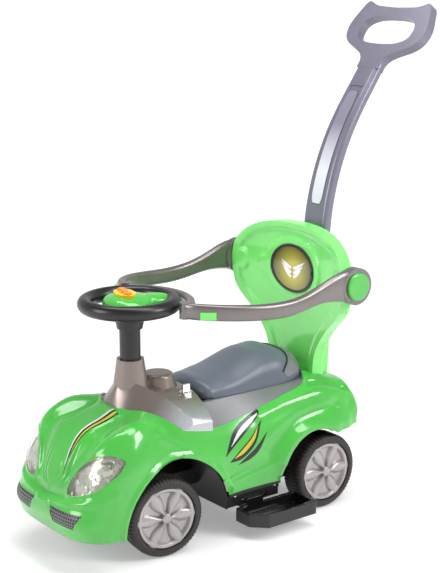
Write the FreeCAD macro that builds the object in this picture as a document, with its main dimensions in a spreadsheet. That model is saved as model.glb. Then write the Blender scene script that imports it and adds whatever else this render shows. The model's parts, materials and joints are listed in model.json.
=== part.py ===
import FreeCAD, Part
import math
import os

import Sketcher
from FreeCAD import Placement, Rotation, Vector

# A toddler push car: floor at z 0, nose towards -y, the car's left towards +x, millimetres.
doc = FreeCAD.newDocument("push_car")
sheet = doc.addObject("Spreadsheet::Sheet", "Sizes")
nodes = []


class Size:
    """A number together with the sheet expression that gives it."""

    def __init__(self, number, text):
        self.number = float(number)
        self.text = text

    def __float__(self):
        return self.number

    def joined(self, sign, other, number):
        text = other.text if isinstance(other, Size) else repr(float(other))
        return Size(number, f"({self.text} {sign} {text})")

    def __add__(self, other):
        return self.joined("+", other, self.number + float(other))

    def __sub__(self, other):
        return self.joined("-", other, self.number - float(other))

    def __mul__(self, other):
        return self.joined("*", other, self.number * float(other))

    def __truediv__(self, other):
        return self.joined("/", other, self.number / float(other))

    def __neg__(self):
        return self * -1

    __radd__ = __add__
    __rmul__ = __mul__


def size(alias, value):
    """One driving dimension: a plain number in the sheet under its own name."""
    row = len(sheet.getUsedCells()) // 2 + 1
    sheet.set(f"A{row}", alias)
    sheet.set(f"B{row}", str(value))
    sheet.setAlias(f"B{row}", alias)
    return Size(value, f"Sizes.{alias}")


# Wheels, axles and track
wheel_radius = size("wheel_radius", 67.5)
wheel_width = size("wheel_width", 44)
wheelbase = size("wheelbase", 340)
front_axle_y = size("front_axle_y", -223)
track_half = size("track_half", 98)
axle_radius = size("axle_radius", 4)
running_clearance = size("running_clearance", 0.08)
side_clearance = size("side_clearance", 0.4)
tread_shoulder = size("tread_shoulder", 7)
hub_radius = size("hub_radius", 14)
hubcap_radius = size("hubcap_radius", 52.6)
hubcap_seat = size("hubcap_seat", 10)
hubcap_plate = size("hubcap_plate", 3)
hubcap_dish = size("hubcap_dish", 7)
hubcap_fit = size("hubcap_fit", 0.2)
hubcap_proud = size("hubcap_proud", 1.5)
window_inset = size("window_inset", 3)
rim_web = size("rim_web", 14)
spoke_count = size("spoke_count", 6)
nut_radius = size("nut_radius", 8)
nut_thickness = size("nut_thickness", 3)
rear_axle_y = front_axle_y + wheelbase
axle_height = wheel_radius

# Steering gear
kingpin_half = size("kingpin_half", 62)
kingpin_radius = size("kingpin_radius", 5)
kingpin_boss = size("kingpin_boss", 9)
steering_y = size("steering_y", -218)
steer_rest = size("steer_rest", 15)
knuckle_arm = size("knuckle_arm", 36)
crank_arm = size("crank_arm", 18)
link_pin = size("link_pin", 3)
link_play = size("link_play", 2)
link_plate = size("link_plate", 5)
link_gap = size("link_gap", 0.4)
link_drop = size("link_drop", 18)
post_drop = size("post_drop", 14)
pin_head = size("pin_head", 3)
crossbar_drop = size("crossbar_drop", 20)
boss_rise = size("boss_rise", 8)
spine_lower = size("spine_lower", 8)
knuckle_slot = size("knuckle_slot", 2.4)
crank_slot = size("crank_slot", 4.2)
shaft_radius = size("shaft_radius", 6)
bush_wall = size("bush_wall", 2.5)

# Steering wheel and column
ring_height = size("ring_height", 404)
ring_outer = size("ring_outer", 86)
ring_tube = size("ring_tube", 12.5)
hub_flange_radius = size("hub_flange_radius", 30)
hub_foot_radius = size("hub_foot_radius", 21.5)
hub_below = size("hub_below", 2)
hub_roof = size("hub_roof", 6)
sleeve_radius = size("sleeve_radius", 17.5)
sleeve_in_cone = size("sleeve_in_cone", 18)
sleeve_gap = size("sleeve_gap", 0.4)
spoke_width = size("spoke_width", 30)
spoke_thickness = size("spoke_thickness", 10)

# Body shell
body_wall = size("body_wall", 3)
body_floor = size("body_floor", 40)
nose_axis_y = size("nose_axis_y", -295)
nose_reach = size("nose_reach", 92)
nose_half = size("nose_half", 131)
nose_top = size("nose_top", 221)
bumper_bottom = size("bumper_bottom", 58)
bumper_lip = size("bumper_lip", 15)
front_half = size("front_half", 130)
front_top = size("front_top", 246)
waist_half = size("waist_half", 116)
waist_top = size("waist_top", 228)
rear_half = size("rear_half", 126)
rear_top = size("rear_top", 236)
tail_y = size("tail_y", 195)
tail_half = size("tail_half", 113)
tail_top = size("tail_top", 216)
tail_bottom = size("tail_bottom", 141)
sill_height = size("sill_height", 77)
front_arch_radius = size("front_arch_radius", 110)
front_arch_back = size("front_arch_back", 13)
arch_centre_z = size("arch_centre_z", 57)
rear_arch_long = size("rear_arch_long", 83)
rear_arch_high = size("rear_arch_high", 101)
rear_arch_ahead = size("rear_arch_ahead", 27)
arch_inner_half = size("arch_inner_half", 70)
fender_rise = size("fender_rise", 20)

# Dash cowl
cowl_half = size("cowl_half", 98)
cowl_front_y = size("cowl_front_y", -260)
cowl_front_z = size("cowl_front_z", 240)
cowl_sweep = size("cowl_sweep", 80)
cowl_drop = size("cowl_drop", 40)
ridge_back = size("ridge_back", 17)
ridge_height = size("ridge_height", 276)
ridge_sweep = size("ridge_sweep", 80)
ridge_drop = size("ridge_drop", 68)
ridge_step = size("ridge_step", 11)
cowl_rear_y = size("cowl_rear_y", -121)
cowl_rear_z = size("cowl_rear_z", 250)
cowl_rear_drop = size("cowl_rear_drop", 44)
cowl_skirt = size("cowl_skirt", 172)
cowl_wall = size("cowl_wall", 3.5)
# Shares of the height from the cowl to the wheel that the cone and the hub take up
CONE_SHARE, HUB_SHARE = 0.27, 0.3175
column_high = ring_height - hub_below - ridge_height
cone_top = ridge_height + column_high * CONE_SHARE
hub_long = column_high * HUB_SHARE
cone_top_radius = size("cone_top_radius", 23)
cone_base_radius = size("cone_base_radius", 31)
pod_y = size("pod_y", -163)
pod_top = size("pod_top", 276)
pod_top_radius = size("pod_top_radius", 26)
pod_base_radius = size("pod_base_radius", 36)
key_x = size("key_x", 50)
key_y = size("key_y", -141)
key_radius = size("key_radius", 5)
key_height = size("key_height", 12)
key_collar_radius = size("key_collar_radius", 11)
key_collar_height = size("key_collar_height", 4)

# Seat, lid and storage tub
frame_upper_half = size("frame_upper_half", 66)
frame_upper_z = size("frame_upper_z", 229)
frame_lower_z = size("frame_lower_z", 182)
frame_rear_y = size("frame_rear_y", 125)
lid_gap = size("lid_gap", 0.4)
lid_crown = size("lid_crown", 58)
lid_dip = size("lid_dip", 34)
tub_half = size("tub_half", 46)
tub_front_y = size("tub_front_y", -87)
tub_rear_y = size("tub_rear_y", 83)
tub_bottom = size("tub_bottom", 120)
tub_wall = size("tub_wall", 2.5)
tub_flange = size("tub_flange", 5)
hinge_pin_radius = size("hinge_pin_radius", 2.5)
hinge_pin_half = size("hinge_pin_half", 62)
hinge_barrel = size("hinge_barrel", 5)

# Backrest
backrest_front_y = size("backrest_front_y", 135)
backrest_thickness = size("backrest_thickness", 24)
backrest_curl = size("backrest_curl", 20)
backrest_half = size("backrest_half", 150)
backrest_top = size("backrest_top", 495)
backrest_foot = size("backrest_foot", 210)
neck_half = size("neck_half", 65)
neck_rise = size("neck_rise", 58)
widest_z = size("widest_z", 402)
socket_wall = size("socket_wall", 4)
socket_top = size("socket_top", 470)
cover_rake = size("cover_rake", 18)
badge_half = size("badge_half", 58)
badge_high = size("badge_high", 44)
badge_z = size("badge_z", 413)
badge_thickness = size("badge_thickness", 2)

# Push handle
pole_half = size("pole_half", 31)
pole_neck_half = size("pole_neck_half", 26)
pole_depth = size("pole_depth", 20)
pole_foot_z = size("pole_foot_z", 300)
grip_half = size("grip_half", 98)
grip_long = size("grip_long", 124)
grip_depth = size("grip_depth", 18)
grip_lean = size("grip_lean", 35)
pole_bend_y = size("pole_bend_y", 180)
pole_bend_z = size("pole_bend_z", 470)
pole_bend_radius = size("pole_bend_radius", 460)
pole_foot_lean = size("pole_foot_lean", 4)
pole_run = size("pole_run", 86)
pole_corner = size("pole_corner", 8)
hole_half = size("hole_half", 68)
hole_high = size("hole_high", 30)
hole_along = size("hole_along", 66)
label_half = size("label_half", 15)
label_long = size("label_long", 118)
label_thickness = size("label_thickness", 1.2)

# Guard
guard_pivot_y = size("guard_pivot_y", 135)
guard_pivot_z = size("guard_pivot_z", 411)
guard_pin_radius = size("guard_pin_radius", 9)
guard_cap_radius = size("guard_cap_radius", 24)
guard_cap_thickness = size("guard_cap_thickness", 5)
guard_eye_radius = size("guard_eye_radius", 32)
guard_eye_inner = size("guard_eye_inner", 151)
guard_thick = size("guard_thick", 17)
guard_high = size("guard_high", 27)
guard_drop = size("guard_drop", 16)
guard_corner_x = size("guard_corner_x", 88)
guard_ring_gap = size("guard_ring_gap", 6)
guard_bar_high = size("guard_bar_high", 17)
guard_button_length = size("guard_button_length", 26)
guard_button_high = size("guard_button_high", 12)
guard_button_out = size("guard_button_out", 3)

# Chassis pan and footrests
pan_half = size("pan_half", 111)
pan_front_y = size("pan_front_y", -99)
axle_box_long = size("axle_box_long", 106)
pan_rear_y = rear_axle_y - axle_box_long
pan_bottom = size("pan_bottom", 50)
pan_wall = size("pan_wall", 4)
spine_half = size("spine_half", 30)
spine_front_y = size("spine_front_y", -325)
spine_high = size("spine_high", 100)
footrest_out = size("footrest_out", 171)
footrest_tray = size("footrest_tray", 60)
footrest_tongue = size("footrest_tongue", 40)
footrest_front_y = size("footrest_front_y", -83)
footrest_clear = size("footrest_clear", 1.5)
footrest_rear_y = rear_axle_y - wheel_radius - footrest_clear
footrest_top = size("footrest_top", 47)
footrest_deep = size("footrest_deep", 24)
footrest_floor = size("footrest_floor", 5)
footrest_rim = size("footrest_rim", 6)
footrest_corner = size("footrest_corner", 24)
rail_gap = size("rail_gap", 0.5)

# Shared makers
ALONG = {
    "x": Rotation(Vector(0, 1, 0), 90),
    "y": Rotation(Vector(1, 0, 0), -90),
    "z": Rotation(),
}


def as_size(value):
    return value if isinstance(value, Size) else Size(value, repr(float(value)))


def bind(thing, **values):
    """Tie each property to the sheet."""
    for name, value in values.items():
        thing.setExpression(name, as_size(value).text)


def locate(thing, x, y, z):
    for name, value in (("x", x), ("y", y), ("z", z)):
        thing.setExpression(f"Placement.Base.{name}", as_size(value).text)


def block(name, x, y, z):
    """A box between the low and high ends given for x, y and z."""
    thing = doc.addObject("Part::Box", name)
    lengths = [as_size(high) - low for low, high in (x, y, z)]
    bind(thing, Length=lengths[0], Width=lengths[1], Height=lengths[2])
    locate(thing, x[0], y[0], z[0])
    return thing


def rod(name, axis, radius, low, high, across):
    """A round bar along one axis, centred on the other two coordinates."""
    thing = doc.addObject("Part::Cylinder", name)
    bind(thing, Radius=radius, Height=as_size(high) - low)
    thing.Placement = Placement(Vector(), ALONG[axis])
    first, second = across
    base = {"x": (low, first, second), "y": (first, low, second), "z": (first, second, low)}
    locate(thing, *base[axis])
    return thing


def fuse(name, *things):
    whole = doc.addObject("Part::MultiFuse", name)
    whole.Shapes = list(things)
    return whole


def cut(name, base, *tools):
    whole = doc.addObject("Part::Cut", name)
    whole.Base = base
    whole.Tool = tools[0] if len(tools) == 1 else fuse(name + "_tools", *tools)
    return whole


def finish(label, thing):
    """Give a finished sub-part its name and put it on the list of solids to write."""
    thing.Label = label
    nodes.append(thing)
    return thing


def made(label, shape):
    """A sub-part whose free-form shape comes straight from the sizes."""
    thing = doc.addObject("Part::Feature", label)
    thing.Shape = shape
    return finish(label, thing)


def turned(label, profile):
    """A turned piece: (radius, height) corners swung about its own z axis."""
    body = doc.addObject("PartDesign::Body", label)
    sketch = body.newObject("Sketcher::SketchObject", label + "_profile")
    sketch.AttachmentSupport = [(origin_plane(body, "XZ_Plane"), "")]
    sketch.MapMode = "FlatFace"
    draw_loop(sketch, profile)
    turn = body.newObject("PartDesign::Revolution", label + "_turn")
    turn.Profile = sketch
    turn.ReferenceAxis = (sketch, ["V_Axis"])
    turn.Angle = 360.0
    doc.recompute()
    return body


def origin_plane(body, role):
    return [plane for plane in body.Origin.OriginFeatures if plane.Role == role][0]


def draw_loop(sketch, corners):
    """A closed run of lines whose corners are held by the sheet."""
    count = len(corners)
    spots = [Vector(float(a), float(b), 0) for a, b in corners]
    for index in range(count):
        sketch.addGeometry(Part.LineSegment(spots[index], spots[(index + 1) % count]), False)
    for index in range(count):
        sketch.addConstraint(Sketcher.Constraint("Coincident", index, 2, (index + 1) % count, 1))
    for index, corner in enumerate(corners):
        for kind, axis, value in (("DistanceX", -2, corner[0]), ("DistanceY", -1, corner[1])):
            if float(value) == 0:
                sketch.addConstraint(Sketcher.Constraint("PointOnObject", index, 1, axis))
                continue
            held = sketch.addConstraint(Sketcher.Constraint(kind, -1, 1, index, 1, float(value)))
            sketch.setExpression(f"Constraints[{held}]", as_size(value).text)


def smooth(stations, where):
    """The value at one place on a smooth curve through (place, value) stations, with no overshoot."""
    places = [float(place) for place, value in stations]
    values = [float(value) for place, value in stations]
    if where <= places[0]:
        return values[0]
    if where >= places[-1]:
        return values[-1]
    steps = [b - a for a, b in zip(places, places[1:])]
    slopes = [(b - a) / step for a, b, step in zip(values, values[1:], steps)]
    inner = [2 * a * b / (a + b) if a * b > 0 else 0.0 for a, b in zip(slopes, slopes[1:])]
    tangents = [slopes[0]] + inner + [slopes[-1]]
    index = max(i for i in range(len(steps)) if places[i] <= where)
    step = steps[index]
    share = (where - places[index]) / step
    rest = 1 - share
    start = values[index] * (1 + 2 * share) * rest ** 2 + tangents[index] * step * share * rest ** 2
    end = values[index + 1] * (3 - 2 * share) * share ** 2
    return start + end - tangents[index + 1] * step * rest * share ** 2


def spread(low, high, count):
    return [low + (high - low) * index / (count - 1) for index in range(count)]


def corner_ray(angle, power):
    """A point of the unit superellipse: power 2 is round, larger is squarer."""
    across, up = math.cos(angle), math.sin(angle)
    reach = (abs(across) ** power + abs(up) ** power) ** (-1 / power)
    return reach * across, reach * up


def swell(distance, width):
    """A bell-shaped bump: one at no distance and fading over the width."""
    return math.exp(-((distance / width) ** 2))


def closed_curve(points):
    curve = Part.BSplineCurve()
    curve.interpolate(points, PeriodicFlag=True)
    return Part.Wire(curve.toShape())


def polygon(points):
    return Part.makePolygon(list(points) + [points[0]])


def loft(wires, straight=False):
    return Part.makeLoft(wires, True, straight)


def prism(wire, along):
    return Part.Face(wire).extrude(along)


def mirrored(shape):
    return shape.mirror(Vector(), Vector(1, 0, 0))


def spacing(lines):
    """Shares from 0 to 1 for the points of several like lines, by their mean distance apart."""
    steps = []
    for index in range(len(lines[0]) - 1):
        steps.append(sum(line[index].distanceToPoint(line[index + 1]) for line in lines) / len(lines))
    total = sum(steps)
    return [sum(steps[:index]) / total for index in range(len(steps) + 1)]


def curve_through(points, shares):
    curve = Part.BSplineCurve()
    curve.interpolate(Points=points, Parameters=shares)
    return curve


def skin_through(rows):
    """A smooth face that passes through every point of a grid."""
    across = spacing(rows)
    along = spacing([list(column) for column in zip(*rows)])
    row_curves = [curve_through(row, across) for row in rows]
    pole_rows = [curve.getPoles() for curve in row_curves]
    column_curves = [curve_through(list(poles), along) for poles in zip(*pole_rows)]
    poles = [curve.getPoles() for curve in column_curves]
    row, column = row_curves[0], column_curves[0]
    surface = Part.BSplineSurface()
    surface.buildFromPolesMultsKnots(poles, row.getMultiplicities(), column.getMultiplicities(), row.getKnots(),
                                     column.getKnots(), False, False, row.Degree, column.Degree)
    return surface.toShape()


def capped(rows, floor):
    """The solid under a smooth skin whose edges lie on the floor plane or on the last, upright row."""
    skin = skin_through(rows)
    edges = skin.OuterWire.OrderedEdges
    on_floor = [edge for edge in edges if edge.BoundBox.ZMax < floor + 1e-3]
    upright = [edge for edge in edges if edge not in on_floor]
    faces = [skin]
    if upright:
        ends = [vertex.Point for vertex in upright[0].Vertexes]
        foot = Part.LineSegment(ends[0], ends[1]).toShape()
        faces.append(Part.Face(Part.Wire([upright[0], foot])))
        on_floor.append(foot)
    faces.append(Part.Face(Part.Wire(Part.__sortEdges__(on_floor))))
    shell = Part.Compound(faces)
    shell.sewShape()
    solid = Part.Solid(shell.Shells[0])
    if solid.Volume < 0:
        solid.reverse()
    return solid


ACROSS_ROWS = 25
NOSE_ROWS = 9
PINCH = 0.95
CREEP = 0.14


class Dome:
    """A smooth shell form over a floor plane, rounded at the nose and, if it has a reach there, at the tail."""

    def __init__(self, floor, start, end, half, top, power, nose, tail, nose_curve, plan_power, rows):
        self.floor = float(floor)
        self.start = float(start)
        self.end = float(end)
        self.half = half
        self.top = top
        self.power = power
        self.nose = float(nose)
        self.tail = float(tail)
        self.nose_curve = nose_curve
        self.plan_power = plan_power
        self.rows = rows

    def bulge(self, spot, inset):
        return spot

    def ridge(self, slant):
        return 0.0

    def round_end(self, where, reach, sign, inset):
        """Rows that fan from lying on the floor to standing upright at one end."""
        high = smooth(self.top, where) - inset - self.floor
        wide = smooth(self.half, where) - inset
        square = smooth(self.power, where)
        for index in range(NOSE_ROWS):
            slant = math.radians(90.0 * index / NOSE_ROWS)
            creep = CREEP * reach * (1 - index / NOSE_ROWS)
            flat = math.cos(slant) / (reach - inset - creep)
            tall = math.sin(slant) / high
            length = (flat ** self.nose_curve + tall ** self.nose_curve) ** (-1 / self.nose_curve)
            length += self.ridge(math.degrees(slant)) if sign < 0 else 0.0
            power = self.plan_power + (square - self.plan_power) * math.sin(slant) ** 2
            width = wide * (PINCH + (1 - PINCH) * math.sin(slant))
            row = []
            for angle in spread(0.0, math.pi, ACROSS_ROWS):
                across, up = corner_ray(angle, power)
                spot = Vector(
                    width * across,
                    where + sign * (creep + length * up * math.cos(slant)),
                    self.floor + length * up * math.sin(slant),
                )
                row.append(self.bulge(spot, inset))
            yield row

    def upright_row(self, where, inset):
        high = smooth(self.top, where) - inset - self.floor
        wide = smooth(self.half, where) - inset
        power = smooth(self.power, where)
        row = []
        for angle in spread(0.0, math.pi, ACROSS_ROWS):
            across, up = corner_ray(angle, power)
            row.append(self.bulge(Vector(wide * across, where, self.floor + high * up), inset))
        return row

    def height(self, across, where):
        """The height of the skin over one place."""
        share = min(1.0, abs(across) / smooth(self.half, where))
        power = smooth(self.power, where)
        high = smooth(self.top, where) - self.floor
        spot = Vector(across, where, self.floor + high * (1 - share ** power) ** (1 / power))
        return self.bulge(spot, 0.0).z

    def solid(self, inset=0.0):
        inset = float(inset)
        end = self.end if self.tail else self.end - inset
        rows = list(self.round_end(self.start, self.nose, -1, inset))
        rows += [self.upright_row(where, inset) for where in spread(self.start, end, self.rows)]
        if self.tail:
            rows += reversed(list(self.round_end(self.end, self.tail, 1, inset)))
        return capped(rows, self.floor)


# Body shell
NOSE_SQUARE, FRONT_SQUARE, WAIST_SQUARE, REAR_SQUARE, TAIL_SQUARE = 4.6, 2.7, 3.2, 3.8, 4.4
LIP_SLANT, LIP_SPREAD = 30.0, 13.0
FENDER_OUT, FENDER_WIDE, FENDER_LONG, FENDER_BACK = 0.8, 32.0, 70.0, 18.0
waist_y = front_axle_y + wheelbase / 2


class Body(Dome):
    """The car body: low rounded nose with a bumper lip and two raised front fenders."""

    def ridge(self, slant):
        return float(bumper_lip) * swell(slant - LIP_SLANT, LIP_SPREAD)

    def bulge(self, spot, inset):
        side = abs(spot.x) - FENDER_OUT * float(front_half)
        along = spot.y - float(nose_axis_y) - FENDER_BACK
        lift = float(fender_rise) * swell(side, FENDER_WIDE) * swell(along, FENDER_LONG)
        rise = max(0.0, spot.z - self.floor) / (float(front_top) - self.floor)
        return spot + Vector(0, 0, lift * rise)


def body_stations(nose, front, waist, rear, tail):
    places = (nose_axis_y, front_axle_y, waist_y, rear_axle_y, tail_y)
    return list(zip(places, (nose, front, waist, rear, tail)))


body_form = Body(
    floor=body_floor,
    start=nose_axis_y,
    end=tail_y,
    half=body_stations(nose_half, front_half, waist_half, rear_half, tail_half),
    top=body_stations(nose_top, front_top, waist_top, rear_top, tail_top),
    power=body_stations(NOSE_SQUARE, FRONT_SQUARE, WAIST_SQUARE, REAR_SQUARE, TAIL_SQUARE),
    nose=nose_reach,
    tail=0.0,
    nose_curve=2.0,
    plan_power=3.3,
    rows=15,
)
body_outer = body_form.solid()
body_inner = body_form.solid(body_wall)


def far_box(x, y, z):
    """A plain box for trimming, between the low and high ends given."""
    low = Vector(float(x[0]), float(y[0]), float(z[0]))
    high = Vector(float(x[1]), float(y[1]), float(z[1]))
    return Part.makeBox(high.x - low.x, high.y - low.y, high.z - low.z, low)


WIDE = 400.0
TALL = 600.0
NEAR = 1e-6
front_arch_y = front_axle_y + front_arch_back
rear_arch_y = rear_axle_y - rear_arch_ahead


def across_bar(wire_maker):
    """The same outline cut through both sides, from the wheel well outwards."""
    near = prism(wire_maker(float(arch_inner_half)), Vector(WIDE, 0, 0))
    return near.fuse(mirrored(near))


def front_arch_wire(x):
    centre = Vector(x, float(front_arch_y), float(arch_centre_z))
    return Part.Wire(Part.makeCircle(float(front_arch_radius), centre, Vector(1, 0, 0)))


def rear_arch_wire(x):
    centre = Vector(x, float(rear_arch_y), float(arch_centre_z))
    top = centre + Vector(0, 0, float(rear_arch_high))
    front = centre - Vector(0, float(rear_arch_long), 0)
    return Part.Wire(Part.Ellipse(top, front, centre).toShape())


def body_trims():
    """The open underside, the wheel arches and the cut-away below the tail."""
    return [
        far_box((-WIDE, WIDE), (-TALL, front_arch_y), (-TALL, bumper_bottom)),
        far_box((-WIDE, WIDE), (front_arch_y, rear_arch_y), (-TALL, sill_height)),
        far_box((-WIDE, WIDE), (rear_arch_y, TALL), (-TALL, tail_bottom)),
        across_bar(front_arch_wire),
        across_bar(rear_arch_wire),
    ]


# Dash cowl: a swept band rising from the hood to a ridge, with a stepped dash behind it
BAND_SWEEP_POWER, BAND_DROP_POWER = 2.6, 1.6
RIDGE_SWEEP_POWER, RIDGE_DROP_POWER = 1.25, 2.6
RIDGE_WIDTH = 9.0
COWL_SECTIONS = 13


def cowl_edges(share, inset):
    """The band foot, the ridge, the step behind it and the rear edge, at one place across the car."""
    side = abs(share)
    foot = Vector(0, float(cowl_front_y) + float(cowl_sweep) * side ** BAND_SWEEP_POWER + inset,
                  float(cowl_front_z) - float(cowl_drop) * side ** BAND_DROP_POWER - inset)
    ridge = Vector(0, float(cowl_front_y + ridge_back) + float(ridge_sweep) * side ** RIDGE_SWEEP_POWER + inset,
                   float(ridge_height) - float(ridge_drop) * side ** RIDGE_DROP_POWER - inset)
    step = ridge + Vector(0, RIDGE_WIDTH, -float(ridge_step) * (1 - side ** 2))
    rear = Vector(0, float(cowl_rear_y),
                  float(cowl_rear_z) - float(cowl_rear_drop) * side ** RIDGE_DROP_POWER - inset)
    return foot, ridge, step, rear


def cowl_sections(corners_at, inset):
    wires = []
    for share in spread(-1.0, 1.0, COWL_SECTIONS):
        x = (float(cowl_half) - inset) * share
        wires.append(polygon([Vector(x, spot.y, spot.z) for spot in corners_at(share)]))
    return loft(wires)


def cowl_solid(inset=0.0):
    def corners(share):
        foot, ridge, step, rear = cowl_edges(share, inset)
        low = float(cowl_skirt) - inset
        back = Vector(0, rear.y + inset, rear.z)
        return [Vector(0, foot.y, low), foot, ridge, step, back, Vector(0, back.y, low)]

    return cowl_sections(corners, inset)


def cowl_opening():
    """Everything over the cowl's own footprint."""
    def corners(share):
        foot, ridge, step, rear = cowl_edges(share, 0.0)
        low = float(cowl_skirt)
        return [Vector(0, foot.y, low), Vector(0, foot.y, TALL), Vector(0, rear.y, TALL), Vector(0, rear.y, low)]

    return cowl_sections(corners, 0.0)


def cone(low_radius, high_radius, low, high, x, y):
    return Part.makeCone(float(low_radius), float(high_radius), float(high) - float(low),
                         Vector(float(x), float(y), float(low)))


def upright(radius, low, high, x, y):
    return Part.makeCylinder(float(radius), float(high) - float(low), Vector(float(x), float(y), float(low)))


POD_ROUND = 7.0
dash_floor = ridge_height - ridge_step - cowl_wall
pod_low = cowl_rear_z - cowl_wall * 3


def top_edge(shape, height):
    return [edge for edge in shape.Edges
            if abs(edge.BoundBox.ZMin - float(height)) < NEAR and abs(edge.BoundBox.ZMax - float(height)) < NEAR]


def make_cowl():
    skin = cowl_solid().cut(cowl_solid(float(cowl_wall)))
    column = cone(cone_base_radius, cone_top_radius, dash_floor - cowl_wall * 2, cone_top, 0, steering_y)
    pod = cone(pod_base_radius, pod_top_radius, pod_low, pod_top, 0, pod_y)
    pod = pod.makeFillet(POD_ROUND, top_edge(pod, pod_top))
    hollow = cone(pod_base_radius - cowl_wall, pod_top_radius - cowl_wall, pod_low - cowl_wall,
                  pod_top - cowl_wall, 0, pod_y)
    bore = upright(sleeve_radius + sleeve_gap, cowl_skirt, cone_top + TALL, 0, steering_y)
    return skin.fuse([column, pod]).cut([hollow, bore]).removeSplitter()


def height_on(shape, x, y):
    """The height of the top of a shape over one place."""
    line = Part.LineSegment(Vector(float(x), float(y), 0), Vector(float(x), float(y), TALL)).toShape()
    return shape.common(line).BoundBox.ZMax


# Ignition key in a collar set through the cowl
KEY_BELOW = 8.0
KEY_RIM = 2.0
KEY_PLATE = 1.5
KEY_FLAT = 2.5


def key_base(cowl):
    return height_on(cowl, key_x, key_y)


def key_collar(base):
    outside = upright(key_collar_radius, base - KEY_BELOW, base + float(key_collar_height), key_x, key_y)
    bore = upright(key_radius + running_clearance, base - KEY_BELOW / 2, TALL, key_x, key_y)
    return outside.cut(bore)


def make_key(base):
    face = base + float(key_collar_height) + float(side_clearance)
    stem = upright(key_radius, base - KEY_BELOW / 2, face, key_x, key_y)
    plate = upright(key_radius + KEY_RIM, face, face + KEY_PLATE, key_x, key_y)
    half, thick = float(key_radius) + KEY_RIM, float(key_radius) / KEY_FLAT
    blade = far_box((float(key_x) - thick, float(key_x) + thick), (float(key_y) - half, float(key_y) + half),
                    (face, face + float(key_height)))
    return stem.fuse(plate).fuse(blade)


# Seat frame: a sloped band from the body side up to the edge of the lid
FRAME_SECTIONS = 11
FRAME_PROUD = 1.0
FRAME_TAPER = 0.8
FRAME_TAPER_LONG = 16.0
frame_front_edge = size("frame_front_edge", 30)
frame_waist_edge = size("frame_waist_edge", 23)
frame_seat_edge = size("frame_seat_edge", 15)
frame_tail_edge = size("frame_tail_edge", 12)
frame_tail_half = size("frame_tail_half", 33)


def frame_upper(where):
    """Half the width of the band's upper edge."""
    return smooth([(cowl_rear_y, frame_upper_half), (tub_rear_y, frame_upper_half),
                   (frame_rear_y - FRAME_TAPER_LONG, frame_upper_half * FRAME_TAPER),
                   (frame_rear_y, frame_tail_half)], where)


def frame_outer(where):
    """Half the width of the band's lower edge, which is also the opening in the body."""
    edges = [(cowl_rear_y, frame_upper_half + frame_front_edge), (waist_y, frame_upper_half + frame_waist_edge),
             (tub_rear_y, frame_upper_half + frame_seat_edge), (frame_rear_y, frame_tail_half + frame_tail_edge)]
    return smooth(edges, where)


def frame_sections(corners_at):
    wires = []
    for where in spread(float(cowl_rear_y), float(frame_rear_y), FRAME_SECTIONS):
        wires.append(polygon([Vector(x, where, z) for x, z in corners_at(where)]))
    return loft(wires)


def frame_solid():
    def corners(where):
        edge = frame_outer(where)
        upper = frame_upper(where)
        low = float(frame_lower_z)
        meet = body_form.height(edge, where) + FRAME_PROUD
        high = float(frame_upper_z)
        return [(-edge, low), (edge, low), (edge, meet), (upper, high), (-upper, high), (-edge, meet)]

    return frame_sections(corners)


def frame_opening():
    def corners(where):
        edge = frame_outer(where)
        low = float(frame_lower_z)
        return [(-edge, low), (edge, low), (edge, TALL), (-edge, TALL)]

    return frame_sections(corners)


# Storage tub in the seat frame
hinge_y = tub_front_y - tub_flange - hinge_barrel * 2
hinge_z = frame_upper_z - hinge_barrel
HINGE_POCKET_DEEP = 26.0
HINGE_POCKET_FRONT = 2.0


def tub_box(inset, low, high):
    return far_box((-tub_half + inset, tub_half - inset), (tub_front_y + inset, tub_rear_y - inset), (low, high))


def make_tub():
    rim = tub_box(-float(tub_flange), frame_upper_z - tub_wall, frame_upper_z)
    outside = tub_box(0.0, tub_bottom, frame_upper_z)
    inside = tub_box(float(tub_wall), tub_bottom + tub_wall, frame_upper_z + TALL)
    return outside.fuse(rim).cut(inside).removeSplitter()


def hinge_rod(radius, half, x=0.0):
    return Part.makeCylinder(float(radius), 2 * float(half),
                             Vector(x - float(half), float(hinge_y), float(hinge_z)), Vector(1, 0, 0))


def make_frame(tub):
    pocket = far_box((-hinge_pin_half + hinge_barrel, hinge_pin_half - hinge_barrel),
                     (cowl_rear_y + HINGE_POCKET_FRONT, tub_front_y - tub_flange),
                     (hinge_z - HINGE_POCKET_DEEP, frame_upper_z + TALL))
    cavity = tub_box(0.0, 0.0, frame_upper_z + TALL)
    hollow = far_box((-tub_half - tub_flange, tub_half + tub_flange),
                     (tub_front_y - tub_flange, tub_rear_y + tub_flange),
                     (0.0, frame_upper_z - tub_flange * 2))
    return frame_solid().cut([cavity, hollow, pocket, tub, hinge_rod(hinge_pin_radius, hinge_pin_half)])


# Seat lid: a crowned cushion hinged at its nose
LID_NOSE, LID_TAIL = 24.0, 36.0
LID_SQUARE = 2.7
LID_FRONT_GAP = 8.0
LID_REAR_GAP = 4.0
LID_ROOM = 0.6
LID_NOSE_IN, LID_WAIST_IN, LID_SEAT_IN, LID_TAIL_IN = 6.0, 2.0, 1.0, 5.0
LID_END_SHARE = 0.85
LID_CROWN_LONG, LID_CROWN_END = 50.0, 20.0
LUG_X = 26.0
LUG_HALF = 8.0
lid_floor = frame_upper_z + lid_gap
lid_nose_y = cowl_rear_y + LID_NOSE + LID_FRONT_GAP
lid_tail_y = frame_rear_y - LID_TAIL - LID_REAR_GAP


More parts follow.
